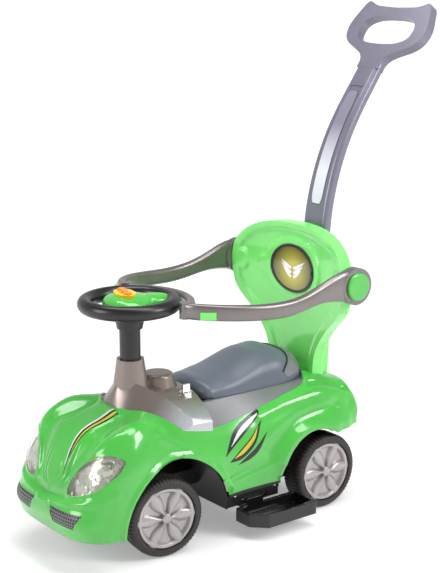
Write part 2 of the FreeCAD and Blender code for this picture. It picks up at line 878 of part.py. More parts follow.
def lid_dome(room):
    """The lid's crowned form, or the same form with some room round it."""
    start, end, floor = lid_nose_y - room, lid_tail_y + room, lid_floor - room
    return Dome(
        floor=floor,
        start=start,
        end=end,
        half=[(start, frame_upper_half - LID_NOSE_IN + room), (waist_y, frame_upper_half - LID_WAIST_IN + room),
              (end - LID_CROWN_END, frame_upper_half - LID_SEAT_IN + room),
              (end, frame_upper_half - LID_TAIL_IN + room)],
        top=[(start, floor + lid_dip * LID_END_SHARE), (waist_y, floor + lid_dip),
             (end - LID_CROWN_LONG, floor + lid_crown), (end - LID_CROWN_END, floor + lid_crown),
             (end, floor + lid_crown * LID_END_SHARE)],
        power=[(start, LID_SQUARE), (end, LID_SQUARE)],
        nose=LID_NOSE,
        tail=LID_TAIL,
        nose_curve=2.2,
        plan_power=2.6,
        rows=9,
    )


def make_lid():
    shape = lid_dome(0.0).solid()
    for side in (-1, 1):
        x = side * LUG_X
        lug = hinge_rod(hinge_barrel, LUG_HALF, x)
        stem = far_box((x - LUG_HALF, x + LUG_HALF), (hinge_y - hinge_barrel, hinge_y + hinge_barrel),
                       (hinge_z, lid_floor + lid_gap))
        shape = shape.fuse([lug, stem])
    return shape.cut(hinge_rod(hinge_pin_radius + running_clearance, TALL)).removeSplitter()


# Backrest: a curved shield on a neck, with a rear cover that holds the push handle

# Shares of the flare and how far below the widest place, then of the half width and the rise to the crown
FLARE_CURVE = ((0.25, 1.15), (0.58, 0.82), (0.9, 0.47))
CROWN_CURVE = ((0.97, 0.41), (0.82, 0.7), (0.52, 0.92), (0.0, 1.0))


def shield_outline():
    """Half the shield's outline from foot to crown, as (x, z)."""
    half = float(backrest_half)
    neck = float(neck_half)
    top = float(backrest_top)
    foot = float(backrest_foot)
    flare = half - neck
    wide = float(widest_z)
    outline = [(neck, foot), (neck, foot + float(neck_rise))]
    outline += [(neck + flare * share, wide - flare * below) for share, below in FLARE_CURVE]
    outline += [(half, wide)]
    outline += [(half * share, wide + (top - wide) * rise) for share, rise in CROWN_CURVE]
    return outline


def make_shield():
    half = [Vector(x, 0, z) for x, z in shield_outline()]
    other = [Vector(-spot.x, 0, spot.z) for spot in reversed(half[:-1])]
    curve = Part.BSplineCurve()
    curve.interpolate(half + other)
    foot = Part.LineSegment(other[-1], half[0]).toShape()
    outline = Part.Wire([curve.toShape(), foot])
    outline.translate(Vector(0, -TALL, 0))
    plate = prism(outline, Vector(0, 2 * TALL, 0))
    return plate.common(curved_slab(backrest_front_y, backrest_thickness))


SLAB_REACH = 1.1
SLAB_SPOTS = 9


def curved_slab(front, thick):
    """A slab that wraps forward at both sides, following the backrest's front face."""
    reach = float(backrest_half) * SLAB_REACH

    def face_curve(y):
        spots = [Vector(x, y - float(backrest_curl) * (x / float(backrest_half)) ** 2, 0)
                 for x in spread(-reach, reach, SLAB_SPOTS)]
        line = Part.BSplineCurve()
        line.interpolate(spots)
        return line.toShape()

    near = face_curve(float(front))
    far = face_curve(float(front) + float(thick))
    sides = [Part.LineSegment(near.Vertexes[i].Point, far.Vertexes[i].Point).toShape() for i in (0, 1)]
    outline = Part.Wire(Part.__sortEdges__([near, sides[1], far, sides[0]]))
    return prism(outline, Vector(0, 0, TALL))


def guard_rod(radius, low, high):
    return Part.makeCylinder(float(radius), float(high) - float(low),
                             Vector(float(low), float(guard_pivot_y), float(guard_pivot_z)), Vector(1, 0, 0))


PIN_DEPTH = 20.0
CAP_ROUND = 0.6
BOSS_WALL = 6.0
guard_boss_radius = guard_pin_radius + BOSS_WALL


def make_backrest():
    shield = make_shield()
    inner = guard_eye_inner - side_clearance
    boss = guard_rod(guard_boss_radius, inner - PIN_DEPTH, inner)
    hole = guard_rod(guard_pin_radius, inner - PIN_DEPTH, guard_eye_inner + TALL)
    badge = badge_solid()
    shape = shield.fuse([boss, mirrored(boss)])
    return shape.cut([hole, mirrored(hole), badge]).removeSplitter()


def badge_solid():
    """An oval plate let into the front face."""
    centre = Vector(0, -TALL, float(badge_z))
    wide = centre + Vector(float(badge_half), 0, 0)
    high = centre + Vector(0, 0, float(badge_high))
    plug = prism(Part.Wire(Part.Ellipse(wide, high, centre).toShape()), Vector(0, 2 * TALL, 0))
    return plug.common(curved_slab(backrest_front_y - badge_thickness / 2, badge_thickness))


# Push handle: a flat pole that leans back into a D-shaped grip
def pole_path(run):
    """A place on the pole's front face and its lean, at one distance from the foot."""
    lean = math.radians(float(pole_foot_lean))
    last = math.radians(float(grip_lean))
    radius = float(pole_bend_radius)
    first = (float(pole_bend_z) - float(pole_foot_z)) / math.cos(lean)
    bend = radius * (last - lean)
    y, z = float(pole_bend_y), float(pole_bend_z)
    if run <= first:
        return y - (first - run) * math.sin(lean), z - (first - run) * math.cos(lean), lean
    turn = min(run - first, bend) / radius + lean
    y += radius * (math.cos(lean) - math.cos(turn))
    z += radius * (math.sin(turn) - math.sin(lean))
    rest = max(0.0, run - first - bend)
    return y + rest * math.sin(turn), z + rest * math.cos(turn), turn


def pole_length():
    lean = math.radians(float(pole_foot_lean))
    bend = float(pole_bend_radius) * (math.radians(float(grip_lean)) - lean)
    return (float(pole_bend_z) - float(pole_foot_z)) / math.cos(lean) + bend + float(pole_run)


QUARTER_TURN = 90
WHEEL_SPOKES = 4


def round_rectangle(half, front, back, corner, place):
    """A rounded rectangle across the pole, from its front face to a depth behind it."""
    left, right = -half, half
    low, high = -back, front
    arcs = []
    for index, (x, y) in enumerate(((right, high), (left, high), (left, low), (right, low))):
        centre = Vector(x - math.copysign(corner, x), y - (corner if y == high else -corner), 0)
        start = index * QUARTER_TURN
        arcs.append(Part.makeCircle(corner, centre, Vector(0, 0, 1), start, start + QUARTER_TURN))
    edges = []
    for index, arc in enumerate(arcs):
        edges.append(arc)
        following = arcs[(index + 1) % 4]
        edges.append(Part.LineSegment(arc.Vertexes[-1].Point, following.Vertexes[0].Point).toShape())
    wire = Part.Wire(edges)
    wire.Placement = place
    return wire


def pole_place(run):
    y, z, lean = pole_path(run)
    along = Vector(0, math.sin(lean), math.cos(lean))
    forward = Vector(0, -math.cos(lean), math.sin(lean))
    return Placement(Vector(0, y, z), Rotation(Vector(-1, 0, 0), forward, along, "ZYX"))


POLE_SECTIONS = 11
POLE_MIDDLE = 0.55
POLE_TAPER = 2.0
LABEL_TOP = 0.6
LABEL_CORNER = 0.4


def pole_solid(low, high, half_at, front, back, corner):
    return loft([round_rectangle(half_at(run), front, back, corner, pole_place(run))
                 for run in spread(low, high, POLE_SECTIONS)])


def pole_half_at(run):
    middle = pole_length() * POLE_MIDDLE
    return smooth([(0.0, pole_half), (middle, pole_half - POLE_TAPER), (pole_length(), pole_neck_half)], run)


# How far the grip runs down into the pole, and shares of its half width and length from cheek to bar
GRIP_ROOT = 0.11
GRIP_FLARE = 3.0
GRIP_CURVE = ((0.62, 0.21), (0.95, 0.39), (1.0, 0.58), (0.9, 0.84), (0.77, 1.0), (0.62, 0.96), (0.3, 0.92),
              (0.0, 0.91))
HOLE_SQUARE = 2.6
HOLE_SPOTS = 16


def grip_outline():
    """Half the grip's outline from the neck to the middle of its bar, as (x, along)."""
    half, far, neck = float(grip_half), float(grip_long), float(pole_neck_half)
    root = [(neck, -far * GRIP_ROOT), (neck + GRIP_FLARE, far * GRIP_ROOT / 2)]
    return root + [(half * across, far * along) for across, along in GRIP_CURVE]


def make_grip():
    half = [Vector(x, along, 0) for x, along in grip_outline()]
    other = [Vector(-spot.x, spot.y, 0) for spot in reversed(half[:-1])]
    curve = Part.BSplineCurve()
    curve.interpolate(half + other)
    foot = Part.LineSegment(other[-1], half[0]).toShape()
    plate = prism(Part.Wire([curve.toShape(), foot]), Vector(0, 0, -float(grip_depth)))
    hole_spots = []
    for angle in spread(0.0, 2 * math.pi, HOLE_SPOTS + 1)[:-1]:
        across, up = corner_ray(angle, HOLE_SQUARE)
        hole_spots.append(Vector(float(hole_half) * across, float(hole_along) + float(hole_high) * up, TALL))
    plate = plate.cut(prism(closed_curve(hole_spots), Vector(0, 0, -2 * TALL)))
    y, z, lean = pole_path(pole_length())
    along = Vector(0, math.sin(lean), math.cos(lean))
    forward = Vector(0, -math.cos(lean), math.sin(lean))
    plate.Placement = Placement(Vector(0, y, z), Rotation(Vector(1, 0, 0), along, forward, "XYZ"))
    return plate


label_start = pole_length() - float(pole_run) - float(label_long)


def label_solid():
    depth = float(label_thickness)
    label_end = pole_length() - float(pole_run) * LABEL_TOP
    return pole_solid(label_start, label_end, lambda run: float(label_half), 0.0, depth, depth * LABEL_CORNER)


def make_handle(label):
    pole = pole_solid(0.0, pole_length(), pole_half_at, 0.0, float(pole_depth), float(pole_corner))
    return pole.fuse(make_grip()).cut(label).removeSplitter()


def make_rear_cover(shield, handle):
    """The cover on the back of the shield that takes the foot of the pole."""
    low, high = float(tail_bottom), float(socket_top)
    near = float(backrest_front_y)
    far = float(pole_bend_y) + float(pole_depth) + float(socket_wall)
    wires = []
    half = float(pole_half) + float(socket_wall)
    for z, back in ((low, far - float(cover_rake)), (high, far)):
        corners = ((-half, near), (half, near), (half, back), (-half, back))
        wires.append(polygon([Vector(x, y, z) for x, y in corners]))
    return loft(wires, True).cut([shield, handle, body_outer])


# Guard: two arms swung from the backrest and a bar that curves round behind the steering wheel
# Along each arm, as shares: the way to the corner, the way in from the eye and the drop below the pivot
GUARD_CURVE = ((0.05, 0.0, -0.2), (0.13, 0.0, -0.12), (0.28, 0.01, 0.38), (0.44, -0.01, 0.94), (0.62, 0.04, 1.0),
               (0.76, 0.15, 0.81), (0.88, 0.37, 0.63), (0.957, 0.62, 0.56), (1.0, 1.0, 0.56))
GUARD_SQUARE = 2.8
GUARD_SECTIONS = 9
GUARD_SPOTS = 14
ARM_INSET = 0.8
EYE_SHARE = 0.86
EYE_FADE = 0.3
POST_OUT = 1.0


def guard_path():
    """The middle of the left arm from its eye to its front corner."""
    eye = float(guard_eye_inner) + float(guard_thick) / 2
    y, z = float(guard_pivot_y), float(guard_pivot_z)
    corner_x = float(guard_corner_x)
    corner_y = float(steering_y) + math.sqrt(guard_bar_radius() ** 2 - corner_x ** 2)
    spots = []
    for ahead, inward, lower in GUARD_CURVE:
        x = eye - (eye - corner_x) * inward
        spots.append(Vector(x, y - (y - corner_y) * ahead, z - float(guard_drop) * lower))
    return spots


def guard_bar_radius():
    return float(ring_outer) + float(guard_ring_gap) + float(guard_thick) / 2


def guard_section(centre, along, half_thick, half_high):
    """A rounded oval across the run of the bar."""
    side = along.cross(Vector(0, 0, 1)).normalize()
    up = side.cross(along).normalize()
    spots = []
    for angle in spread(0.0, 2 * math.pi, GUARD_SPOTS + 1)[:-1]:
        across, high = corner_ray(angle, GUARD_SQUARE)
        spots.append(centre + side * (half_thick * across) + up * (half_high * high))
    return closed_curve(spots)


def guard_curve():
    line = Part.BSplineCurve()
    line.interpolate(guard_path())
    return line


def make_guard_arm():
    line = guard_curve()
    wires = []
    for share in spread(0.0, 1.0, GUARD_SECTIONS):
        spot = line.FirstParameter + (line.LastParameter - line.FirstParameter) * share
        centre = line.value(spot)
        along = Vector(*line.tangent(spot)[0])
        high = smooth([(0.0, guard_eye_radius * EYE_SHARE), (EYE_FADE, guard_high / 2), (1.0, guard_high / 2)], share)
        wires.append(guard_section(centre, along, float(guard_thick) / 2 - ARM_INSET, high))
    eye = guard_rod(guard_eye_radius, guard_eye_inner, guard_eye_inner + guard_thick)
    corner = guard_path()[-1]
    half_high = float(guard_high) / 2
    post = upright(guard_thick / 2 + POST_OUT, corner.z - half_high, corner.z + half_high,
                   corner.x, corner.y)
    bore = guard_rod(guard_pin_radius + running_clearance, 0.0, TALL)
    return loft(wires).fuse(eye).fuse(post).cut(bore)


def make_guard_bar(arms):
    corner = guard_path()[-1]
    swing = math.asin(float(guard_corner_x) / guard_bar_radius())
    wires = []
    for angle in spread(-swing, swing, GUARD_SECTIONS):
        centre = Vector(guard_bar_radius() * math.sin(angle),
                        float(steering_y) + guard_bar_radius() * math.cos(angle), corner.z)
        along = Vector(math.cos(angle), -math.sin(angle), 0)
        wires.append(guard_section(centre, along, float(guard_thick) / 2 - POST_OUT, float(guard_bar_high) / 2))
    return loft(wires).cut(arms)


def make_guard_pin():
    """A pin pressed into the backrest, with a round cap outside the arm."""
    inner = guard_eye_inner - side_clearance
    face = guard_eye_inner + guard_thick + side_clearance
    pin = guard_rod(guard_pin_radius, inner - PIN_DEPTH, face)
    cap = guard_rod(guard_cap_radius, face, face + guard_cap_thickness)
    rim = [edge for edge in cap.Edges if edge.BoundBox.XMin > float(face + guard_cap_thickness) - NEAR]
    return pin.fuse(cap.makeFillet(float(guard_cap_thickness) * CAP_ROUND, rim))


BUTTON_SHARE = 0.87
BUTTON_TRAVEL = 3.0
BUTTON_DROP = 4.0
BUTTON_BODY = 5.0


def guard_button_place():
    line = guard_curve()
    spot = line.FirstParameter + (line.LastParameter - line.FirstParameter) * BUTTON_SHARE
    along = Vector(*line.tangent(spot)[0])
    along.z = 0
    along.normalize()
    out = along.cross(Vector(0, 0, 1))
    out = out if out.x > 0 else out.negative()
    centre = line.value(spot) + out * (float(guard_thick) / 2) - Vector(0, 0, BUTTON_DROP)
    return centre, along, out


def guard_button_box(grow, low, high):
    """A box on the outer face of the arm, from one depth to another along the face's normal."""
    centre, along, out = guard_button_place()
    length = float(guard_button_length) + 2 * grow
    tall = float(guard_button_high) + 2 * grow
    shape = Part.makeBox(length, tall, high - low, Vector(-length / 2, -tall / 2, low))
    shape.Placement = Placement(centre, Rotation(along, Vector(0, 0, 1), out, "ZXY"))
    return shape


# Headlights and bumper grilles let into the nose
LAMP_LONG = Vector(60, 79, 51).normalize()
LAMP_OUT = Vector(0.45, -0.78, 0.43).normalize()
LAMP_SQUARE = 1.7
LAMP_REACH = 60.0
LAMP_SPOTS = 20
lamp_x = size("lamp_x", 86)
lamp_ahead = size("lamp_ahead", 50)
lamp_z = size("lamp_z", 157)
lamp_centre = Vector(float(lamp_x), float(nose_axis_y - lamp_ahead), float(lamp_z))
lamp_half = size("lamp_half", 56)
lamp_high = size("lamp_high", 25)
lens_thickness = size("lens_thickness", 2)
lamp_depth = size("lamp_depth", 9)
lamp_wall = size("lamp_wall", 1.5)
grille_recess = size("grille_recess", 1.5)
grille_thickness = size("grille_thickness", 2.5)
grille_inner = size("grille_inner", 24)
grille_outer = size("grille_outer", 98)
grille_low = size("grille_low", 79)
grille_high = size("grille_high", 103)
grille_taper = size("grille_taper", 12)


def lamp_prism(inset):
    up = LAMP_OUT.cross(LAMP_LONG).normalize()
    spots = []
    for angle in spread(0.0, 2 * math.pi, LAMP_SPOTS + 1)[:-1]:
        across, high = corner_ray(angle, LAMP_SQUARE)
        flat = LAMP_LONG * ((float(lamp_half) - inset) * across) + up * ((float(lamp_high) - inset) * high)
        flat = flat - LAMP_OUT * flat.dot(LAMP_OUT)
        spots.append(lamp_centre + flat - LAMP_OUT * LAMP_REACH)
    return prism(closed_curve(spots), LAMP_OUT * (2 * LAMP_REACH))


def grille_prism():
    nose = float(nose_axis_y - nose_reach)
    outline = ((grille_inner, grille_high), (grille_outer, grille_high),
               (grille_outer - grille_taper, grille_low), (grille_inner + grille_taper, grille_low))
    corners = [Vector(float(x), nose - LAMP_REACH, float(z)) for x, z in outline]
    return prism(polygon(corners), Vector(0, 2 * LAMP_REACH, 0))


def both(shape):
    return Part.Compound(shape.Solids + mirrored(shape).Solids)


def nose_pieces():
    """Lenses, reflectors behind them and grilles, each following the skin of the nose."""
    outside = lamp_prism(0.0)
    under_lens = body_form.solid(lens_thickness)
    deep = body_form.solid(lamp_depth)
    lens = outside.common(body_outer).cut(under_lens)
    bowl = outside.common(under_lens).cut(deep)
    hollow = lamp_prism(float(lamp_wall)).cut(body_form.solid(lamp_depth - lamp_wall))
    bowl = bowl.cut(hollow)
    recessed = body_form.solid(grille_recess)
    grille = grille_prism().common(recessed).cut(body_form.solid(grille_recess + grille_thickness))
    return both(lens), both(bowl), both(grille)


# Wheels
inner_face = track_half - wheel_width / 2
hub_length = wheel_width - hubcap_seat
hub_end = inner_face + hub_length
nut_start = hub_end + side_clearance
axle_end = nut_start + nut_thickness
steer_ratio = crank_arm / knuckle_arm
OVERRUN = 1.0
WHEELS = (
    ("front_left", 1, front_axle_y), ("front_right", -1, front_axle_y),
    ("rear_left", 1, rear_axle_y), ("rear_right", -1, rear_axle_y),
)


def turned_about(x, y, degrees):
    """A turn about an upright axis."""
    swing = Placement(Vector(), Rotation(Vector(0, 0, 1), degrees), Vector(float(x), float(y), 0))
    return swing


def steered(side):
    return turned_about(kingpin_half * side, front_axle_y, -float(steer_rest * steer_ratio))


def wheel_place(side, y):
    spot = Vector(side * float(inner_face), float(y), float(axle_height))
    place = Placement(spot, Rotation(Vector(0, 1, 0), 90 * side))
    return steered(side) * place if y is front_axle_y else place


def make_tyre(label):
    rim = hubcap_radius + hubcap_fit
    side_rim = hubcap_radius - hubcap_fit
    shoulder = wheel_radius - tread_shoulder
    return turned(label, [
        (axle_radius + running_clearance, 0), (hub_radius, 0), (hub_radius, rim_web), (side_rim, rim_web),
        (side_rim, tread_shoulder / 2), (shoulder, 0), (wheel_radius, tread_shoulder),
        (wheel_radius, wheel_width - tread_shoulder), (shoulder, wheel_width), (rim, wheel_width),
        (rim, hub_length), (axle_radius + running_clearance, hub_length),
    ])


# How much of the space between spokes is window
WINDOW_SHARE = 0.45


def make_hubcap(label):
    """A dished cap with a raised middle and open windows between its spokes."""
    rim_inner = hubcap_radius - hubcap_dish
    plate_low = hub_length + side_clearance + nut_thickness + hubcap_fit
    plate_high = plate_low + hubcap_plate
    boss_high = plate_high + hubcap_proud
    body = turned(label, [
        (0, plate_low), (rim_inner, plate_low), (rim_inner, hub_length), (hubcap_radius, hub_length),
        (hubcap_radius, wheel_width), (hubcap_radius - hubcap_proud, wheel_width + hubcap_proud),
        (rim_inner, plate_high),
        (hub_radius + hubcap_proud, plate_high), (hub_radius, boss_high), (0, boss_high),
    ])
    sketch = body.newObject("Sketcher::SketchObject", label + "_window")
    sketch.AttachmentSupport = [(origin_plane(body, "XY_Plane"), "")]
    sketch.MapMode = "FlatFace"
    near, far = hub_radius + window_inset * 2, rim_inner - window_inset
    slope = math.tan(math.pi * WINDOW_SHARE / float(spoke_count))
    narrow, wide = near * slope, far * slope
    draw_loop(sketch, [(near, -narrow), (far, -wide), (far, wide), (near, narrow)])
    pocket = body.newObject("PartDesign::Pocket", label + "_windows")
    pocket.Profile = sketch
    pocket.Type = "ThroughAll"
    pocket.Reversed = True
    doc.recompute()
    pattern = body.newObject("PartDesign::PolarPattern", label + "_ring")
    pattern.Originals = [pocket]
    pattern.Axis = (sketch, ["N_Axis"])
    pattern.Angle = 360.0
    pattern.setExpression("Occurrences", spoke_count.text)
    body.Tip = pattern
    doc.recompute()
    return body


for name, side, y in WHEELS:
    tyre = finish(name + "_tyre", make_tyre(name + "_tyre"))
    tyre.Placement = wheel_place(side, y)
    cap = finish(name + "_hubcap", make_hubcap(name + "_hubcap"))
    cap.Placement = wheel_place(side, y)


def paired(maker, label):
    """The same piece on both sides of the car."""
    for name, side in (("left", 1), ("right", -1)):
        maker(f"{name}_{label}", side)


def ends(side, low, high):
    """Low and high x ends of something on one side of the car."""
    return (low * side, high * side) if side > 0 else (high * side, low * side)


# Axles and spindles
def axle_nut(name, side, y):
    low, high = ends(side, nut_start, axle_end)
    ring = rod(name + "_ring", "x", nut_radius, low, high, (y, axle_height))
    hole = rod(name + "_hole", "x", axle_radius, low, high, (y, axle_height))
    return cut(name, ring, hole)


def spacer(name, side):
    low, high = ends(side, axle_box_half + side_clearance, inner_face - side_clearance)
    ring = rod(name + "_ring", "x", axle_radius + spacer_wall, low, high, (rear_axle_y, axle_height))
    hole = rod(name + "_hole", "x", axle_radius, low, high, (rear_axle_y, axle_height))
    return cut(name, ring, hole)


spacer_wall = size("spacer_wall", 3)
axle_box_half = size("axle_box_half", 56)
finish("rear_axle", rod("rear_axle", "x", axle_radius, -axle_end, axle_end, (rear_axle_y, axle_height)))
nut_pair = [axle_nut("nut_left", 1, rear_axle_y), axle_nut("nut_right", -1, rear_axle_y)]
finish("rear_axle_nuts", fuse("rear_axle_nuts", *nut_pair))
finish("rear_axle_spacers", fuse("rear_axle_spacers", spacer("spacer_left", 1), spacer("spacer_right", -1)))

# Steering knuckles, tie rod and column
link_low = axle_height - link_drop
link_high = link_low + link_plate
arm_low = link_high + link_gap
arm_high = arm_low + link_plate
head_low = link_low - link_gap
link_hole = link_pin + link_play
cross_low = spine_high - crossbar_drop
cross_high = spine_high + boss_rise
clip_low = cross_high + side_clearance
clip_high = clip_low + nut_thickness
link_y = front_axle_y + knuckle_arm
crank_y = steering_y + crank_arm


def link_post(name, x, y):
    """A pin below an arm, with a head that keeps the tie rod on."""
    shank = rod(name + "_shank", "z", link_pin, head_low, arm_low, (x, y))
    head = rod(name + "_head", "z", link_hole + pin_head / 2, head_low - pin_head, head_low, (x, y))
    return [shank, head]


def make_knuckle(label, side):
    x = kingpin_half * side
    low = axle_height - post_drop
    pieces = [
        rod(label + "_post", "z", kingpin_boss, low, cross_low - side_clearance, (x, front_axle_y)),
        rod(label + "_kingpin", "z", kingpin_radius, low, clip_high, (x, front_axle_y)),
        rod(label + "_spindle", "x", axle_radius, *ends(side, kingpin_half, axle_end), (front_axle_y, axle_height)),
        rod(label + "_collar", "x", axle_radius + spacer_wall,
            *ends(side, kingpin_half, inner_face - side_clearance), (front_axle_y, axle_height)),
        block(label + "_arm", (x - kingpin_radius, x + kingpin_radius), (front_axle_y, link_y),
              (arm_low, arm_high)),
        rod(label + "_arm_end", "z", link_hole + link_gap, arm_low, arm_high, (x, link_y)),
    ]
    whole = finish(label, fuse(label, *pieces, *link_post(label, x, link_y)))
    whole.Placement = steered(side)
    nut = finish(label + "_wheel_nut", axle_nut(label + "_wheel_nut", side, front_axle_y))
    nut.Placement = steered(side)
    ring = rod(label + "_clip_ring", "z", kingpin_boss, clip_low, clip_high, (x, front_axle_y))
    clip_hole = rod(label + "_clip_hole", "z", kingpin_radius, clip_low, clip_high, (x, front_axle_y))
    clip = finish(label + "_clip", cut(label + "_clip", ring, clip_hole))
    clip.Placement = steered(side)


paired(make_knuckle, "knuckle")


def slot(name, x, y, reach):
    """A hole through the tie rod, lengthened along y."""
    z = (link_low - OVERRUN, link_high + OVERRUN)
    near, far = as_size(y) - reach, as_size(y)
    return fuse(
        name,
        rod(name + "_near", "z", link_hole, *z, (x, near)),
        rod(name + "_far", "z", link_hole, *z, (x, far)),
        block(name + "_middle", (as_size(x) - link_hole, as_size(x) + link_hole), (near, far), z),
    )


end_radius = link_hole + pin_head
tie_bar = fuse(
    "tie_rod_plate",
    block("tie_rod_bar", (-kingpin_half, kingpin_half), (link_y - end_radius, link_y + end_radius),
          (link_low, link_high)),
    block("tie_rod_tab", (-end_radius, end_radius), (crank_y - crank_slot - end_radius, link_y),
          (link_low, link_high)),
    rod("tie_rod_left_end", "z", end_radius, link_low, link_high, (kingpin_half, link_y)),
    rod("tie_rod_right_end", "z", end_radius, link_low, link_high, (-kingpin_half, link_y)),
)
tie_rod = finish("tie_rod", cut(
    "tie_rod", tie_bar, slot("left_slot", kingpin_half, link_y, knuckle_slot),
    slot("right_slot", -kingpin_half, link_y, knuckle_slot), slot("crank_slot", 0, crank_y, crank_slot)))
tie_rod_shift = float(crank_arm) * math.sin(math.radians(float(steer_rest)))
tie_rod.Placement = Placement(Vector(tie_rod_shift, 0, 0), Rotation())

hub_high = ring_height - hub_below
hub_low = hub_high - hub_long
sleeve_bottom = cone_top - sleeve_in_cone
shaft_top = hub_high - hub_roof
steering_turn = turned_about(0, steering_y, -float(steer_rest))
steering_centre = (0, steering_y)


def finish_steering(label, thing):
    finish(label, thing).Placement = steering_turn


finish_steering("steering_shaft", fuse(
    "steering_shaft",
    rod("shaft_rod", "z", shaft_radius, arm_low, shaft_top, steering_centre),
    block("crank_plate", (-shaft_radius, shaft_radius), (steering_y, crank_y), (arm_low, arm_high)),
    rod("crank_end", "z", shaft_radius, arm_low, arm_high, (0, crank_y)),
    *link_post("crank", 0, crank_y)))
finish_steering("column_sleeve", cut(
    "column_sleeve", rod("sleeve_outside", "z", sleeve_radius, sleeve_bottom, hub_low, steering_centre),
    rod("sleeve_bore", "z", shaft_radius, sleeve_bottom, hub_low, steering_centre)))


def make_ring():
    ring = doc.addObject("Part::Torus", "ring_tube")
    bind(ring, Radius1=ring_outer - ring_tube, Radius2=ring_tube)
    locate(ring, 0, steering_y, ring_height)
    return ring


def make_spoke(name, degrees):
    bar = block(name, (-spoke_width / 2, spoke_width / 2), (0, ring_outer - ring_tube), (0, spoke_thickness))
    bar.Placement = Placement(Vector(0, 0, 0), Rotation(Vector(0, 0, 1), degrees))
    locate(bar, 0, steering_y, hub_high - spoke_thickness)
    turn = math.radians(degrees)
    bar.setExpression("Placement.Base.x", (spoke_width * (-0.5 * math.cos(turn))).text)
    bar.setExpression("Placement.Base.y", (steering_y + spoke_width * (-0.5 * math.sin(turn))).text)
    return bar


hub_cone = doc.addObject("Part::Cone", "hub_cone")
bind(hub_cone, Radius1=hub_foot_radius, Radius2=hub_flange_radius, Height=hub_high - hub_low)
locate(hub_cone, 0, steering_y, hub_low)
finish_steering("steering_wheel", cut(
    "steering_wheel",
    fuse("wheel_whole", make_ring(), hub_cone,
         *[make_spoke(f"spoke_{turn}", turn * QUARTER_TURN) for turn in range(WHEEL_SPOKES)]),
    rod("hub_bore", "z", shaft_radius, hub_low, shaft_top, steering_centre)))

# Green pad on the steering wheel, with its cluster of horn buttons
pad_half = size("pad_half", 42)
pad_front = size("pad_front", 44)
pad_tail = size("pad_tail", 78)
pad_height = size("pad_height", 18)
module_radius = size("module_radius", 27)
module_long = size("module_long", 17)
module_height = size("module_height", 6)
horn_radius = size("horn_radius", 6.5)
horn_pitch = size("horn_pitch", 16)
horn_out = size("horn_out", 4)
horn_gap = size("horn_gap", 0.3)
horn_travel = size("horn_travel", 2)
module_ahead = size("module_ahead", 8)
module_y = steering_y - module_ahead
pad_top = hub_high + pad_height
module_top = pad_top + module_height / 2

# Where the pad's rounded ends begin, as shares of its reach ahead of the axis and behind it
PAD_NOSE, PAD_TAIL = 0.35, 0.42
PAD_NARROW, PAD_FALL, PAD_SQUARE = 0.5, 3.0, 2.4
pad_start = steering_y - pad_front * PAD_NOSE
pad_end = steering_y + pad_tail * PAD_TAIL
pad_form = Dome(
    floor=hub_high,
    start=pad_start,
    end=pad_end,
    half=[(pad_start, pad_half), (steering_y, pad_half), (pad_end, pad_half * PAD_NARROW)],
    top=[(pad_start, pad_top), (steering_y, pad_top), (pad_end, pad_top - PAD_FALL)],
    power=[(pad_start, PAD_SQUARE), (pad_end, PAD_SQUARE)],
    nose=pad_front * (1 - PAD_NOSE),
    tail=pad_tail * (1 - PAD_TAIL),
    nose_curve=2.2,
    plan_power=2.0,
    rows=5,
)


def module_solid(low, high):
    centre = Vector(0, float(module_y), float(low))
    wide = centre + Vector(float(module_radius), 0, 0)
    deep = centre + Vector(0, float(module_long), 0)
    return prism(Part.Wire(Part.Ellipse(wide, deep, centre).toShape()), Vector(0, 0, float(high) - float(low)))


module_low = hub_high + pad_height / 2
module_shape = module_solid(module_low, module_top)
ring_centre = Vector(0, float(steering_y), float(ring_height))
ring_shape = Part.makeTorus(float(ring_outer - ring_tube), float(ring_tube), ring_centre)
pad_shape = pad_form.solid().cut([module_solid(module_low, TALL), ring_shape])
horn_low = module_top - horn_out - horn_travel
HORNS = (("left", 1), ("middle", 0), ("right", -1))
for name, place in HORNS:
    x = horn_pitch * place
    button = upright(horn_radius, horn_low + horn_travel, module_top + horn_out, x, module_y)
    rim = top_edge(button, module_top + horn_out)
    button = button.makeFillet(float(horn_out) / 2, rim)
    module_shape = module_shape.cut(upright(horn_radius + horn_gap, horn_low, TALL, x, module_y))
    made(f"horn_button_{name}", button).Placement = steering_turn
made("steering_pad", max(pad_shape.Solids, key=lambda solid: solid.Volume)).Placement = steering_turn
made("horn_cluster", module_shape).Placement = steering_turn

# Chassis pan: a tray between the wheels, a spine to the nose and a box round the rear axle
flange_reach = size("flange_reach", 7)
flange_half = pan_half + flange_reach
flange_thickness = size("flange_thickness", 5)
axle_box_top = size("axle_box_top", 88)
axle_box_rear = size("axle_box_rear", 18)
screw_radius = size("screw_radius", 2)
screw_head = size("screw_head", 3)
screw_in = size("screw_in", 12)
screw_head_thickness = size("screw_head_thickness", 2.5)
tongue_y = (pan_front_y + pan_rear_y) / 2
tongue_half = (pan_rear_y - pan_front_y) / 4
web_half = (pan_rear_y - pan_front_y) / 6
web_depth = size("web_depth", 9)
tongue_thickness = size("tongue_thickness", 5)
tongue_low = pan_bottom + pan_wall + rail_gap
tongue_high = tongue_low + tongue_thickness
flange_low = sill_height - flange_thickness
pan_inner = pan_half - pan_wall
crossbar_half = size("crossbar_half", 8)


def pan_slot(label, side):
    """The T-slot one footrest slides in."""
    inner = footrest_out - footrest_tray * 2 - footrest_tongue
    outer = flange_half + OVERRUN
    web = block(label + "_web", ends(side, inner, outer),
                (tongue_y - web_half - rail_gap, tongue_y + web_half + rail_gap),
                (pan_bottom - OVERRUN, tongue_low))
    wall = block(label + "_wall", ends(side, pan_inner - OVERRUN, outer),
                 (tongue_y - tongue_half - rail_gap, tongue_y + tongue_half + rail_gap),
                 (pan_bottom + pan_wall, tongue_high + rail_gap))
    return fuse(label, web, wall)


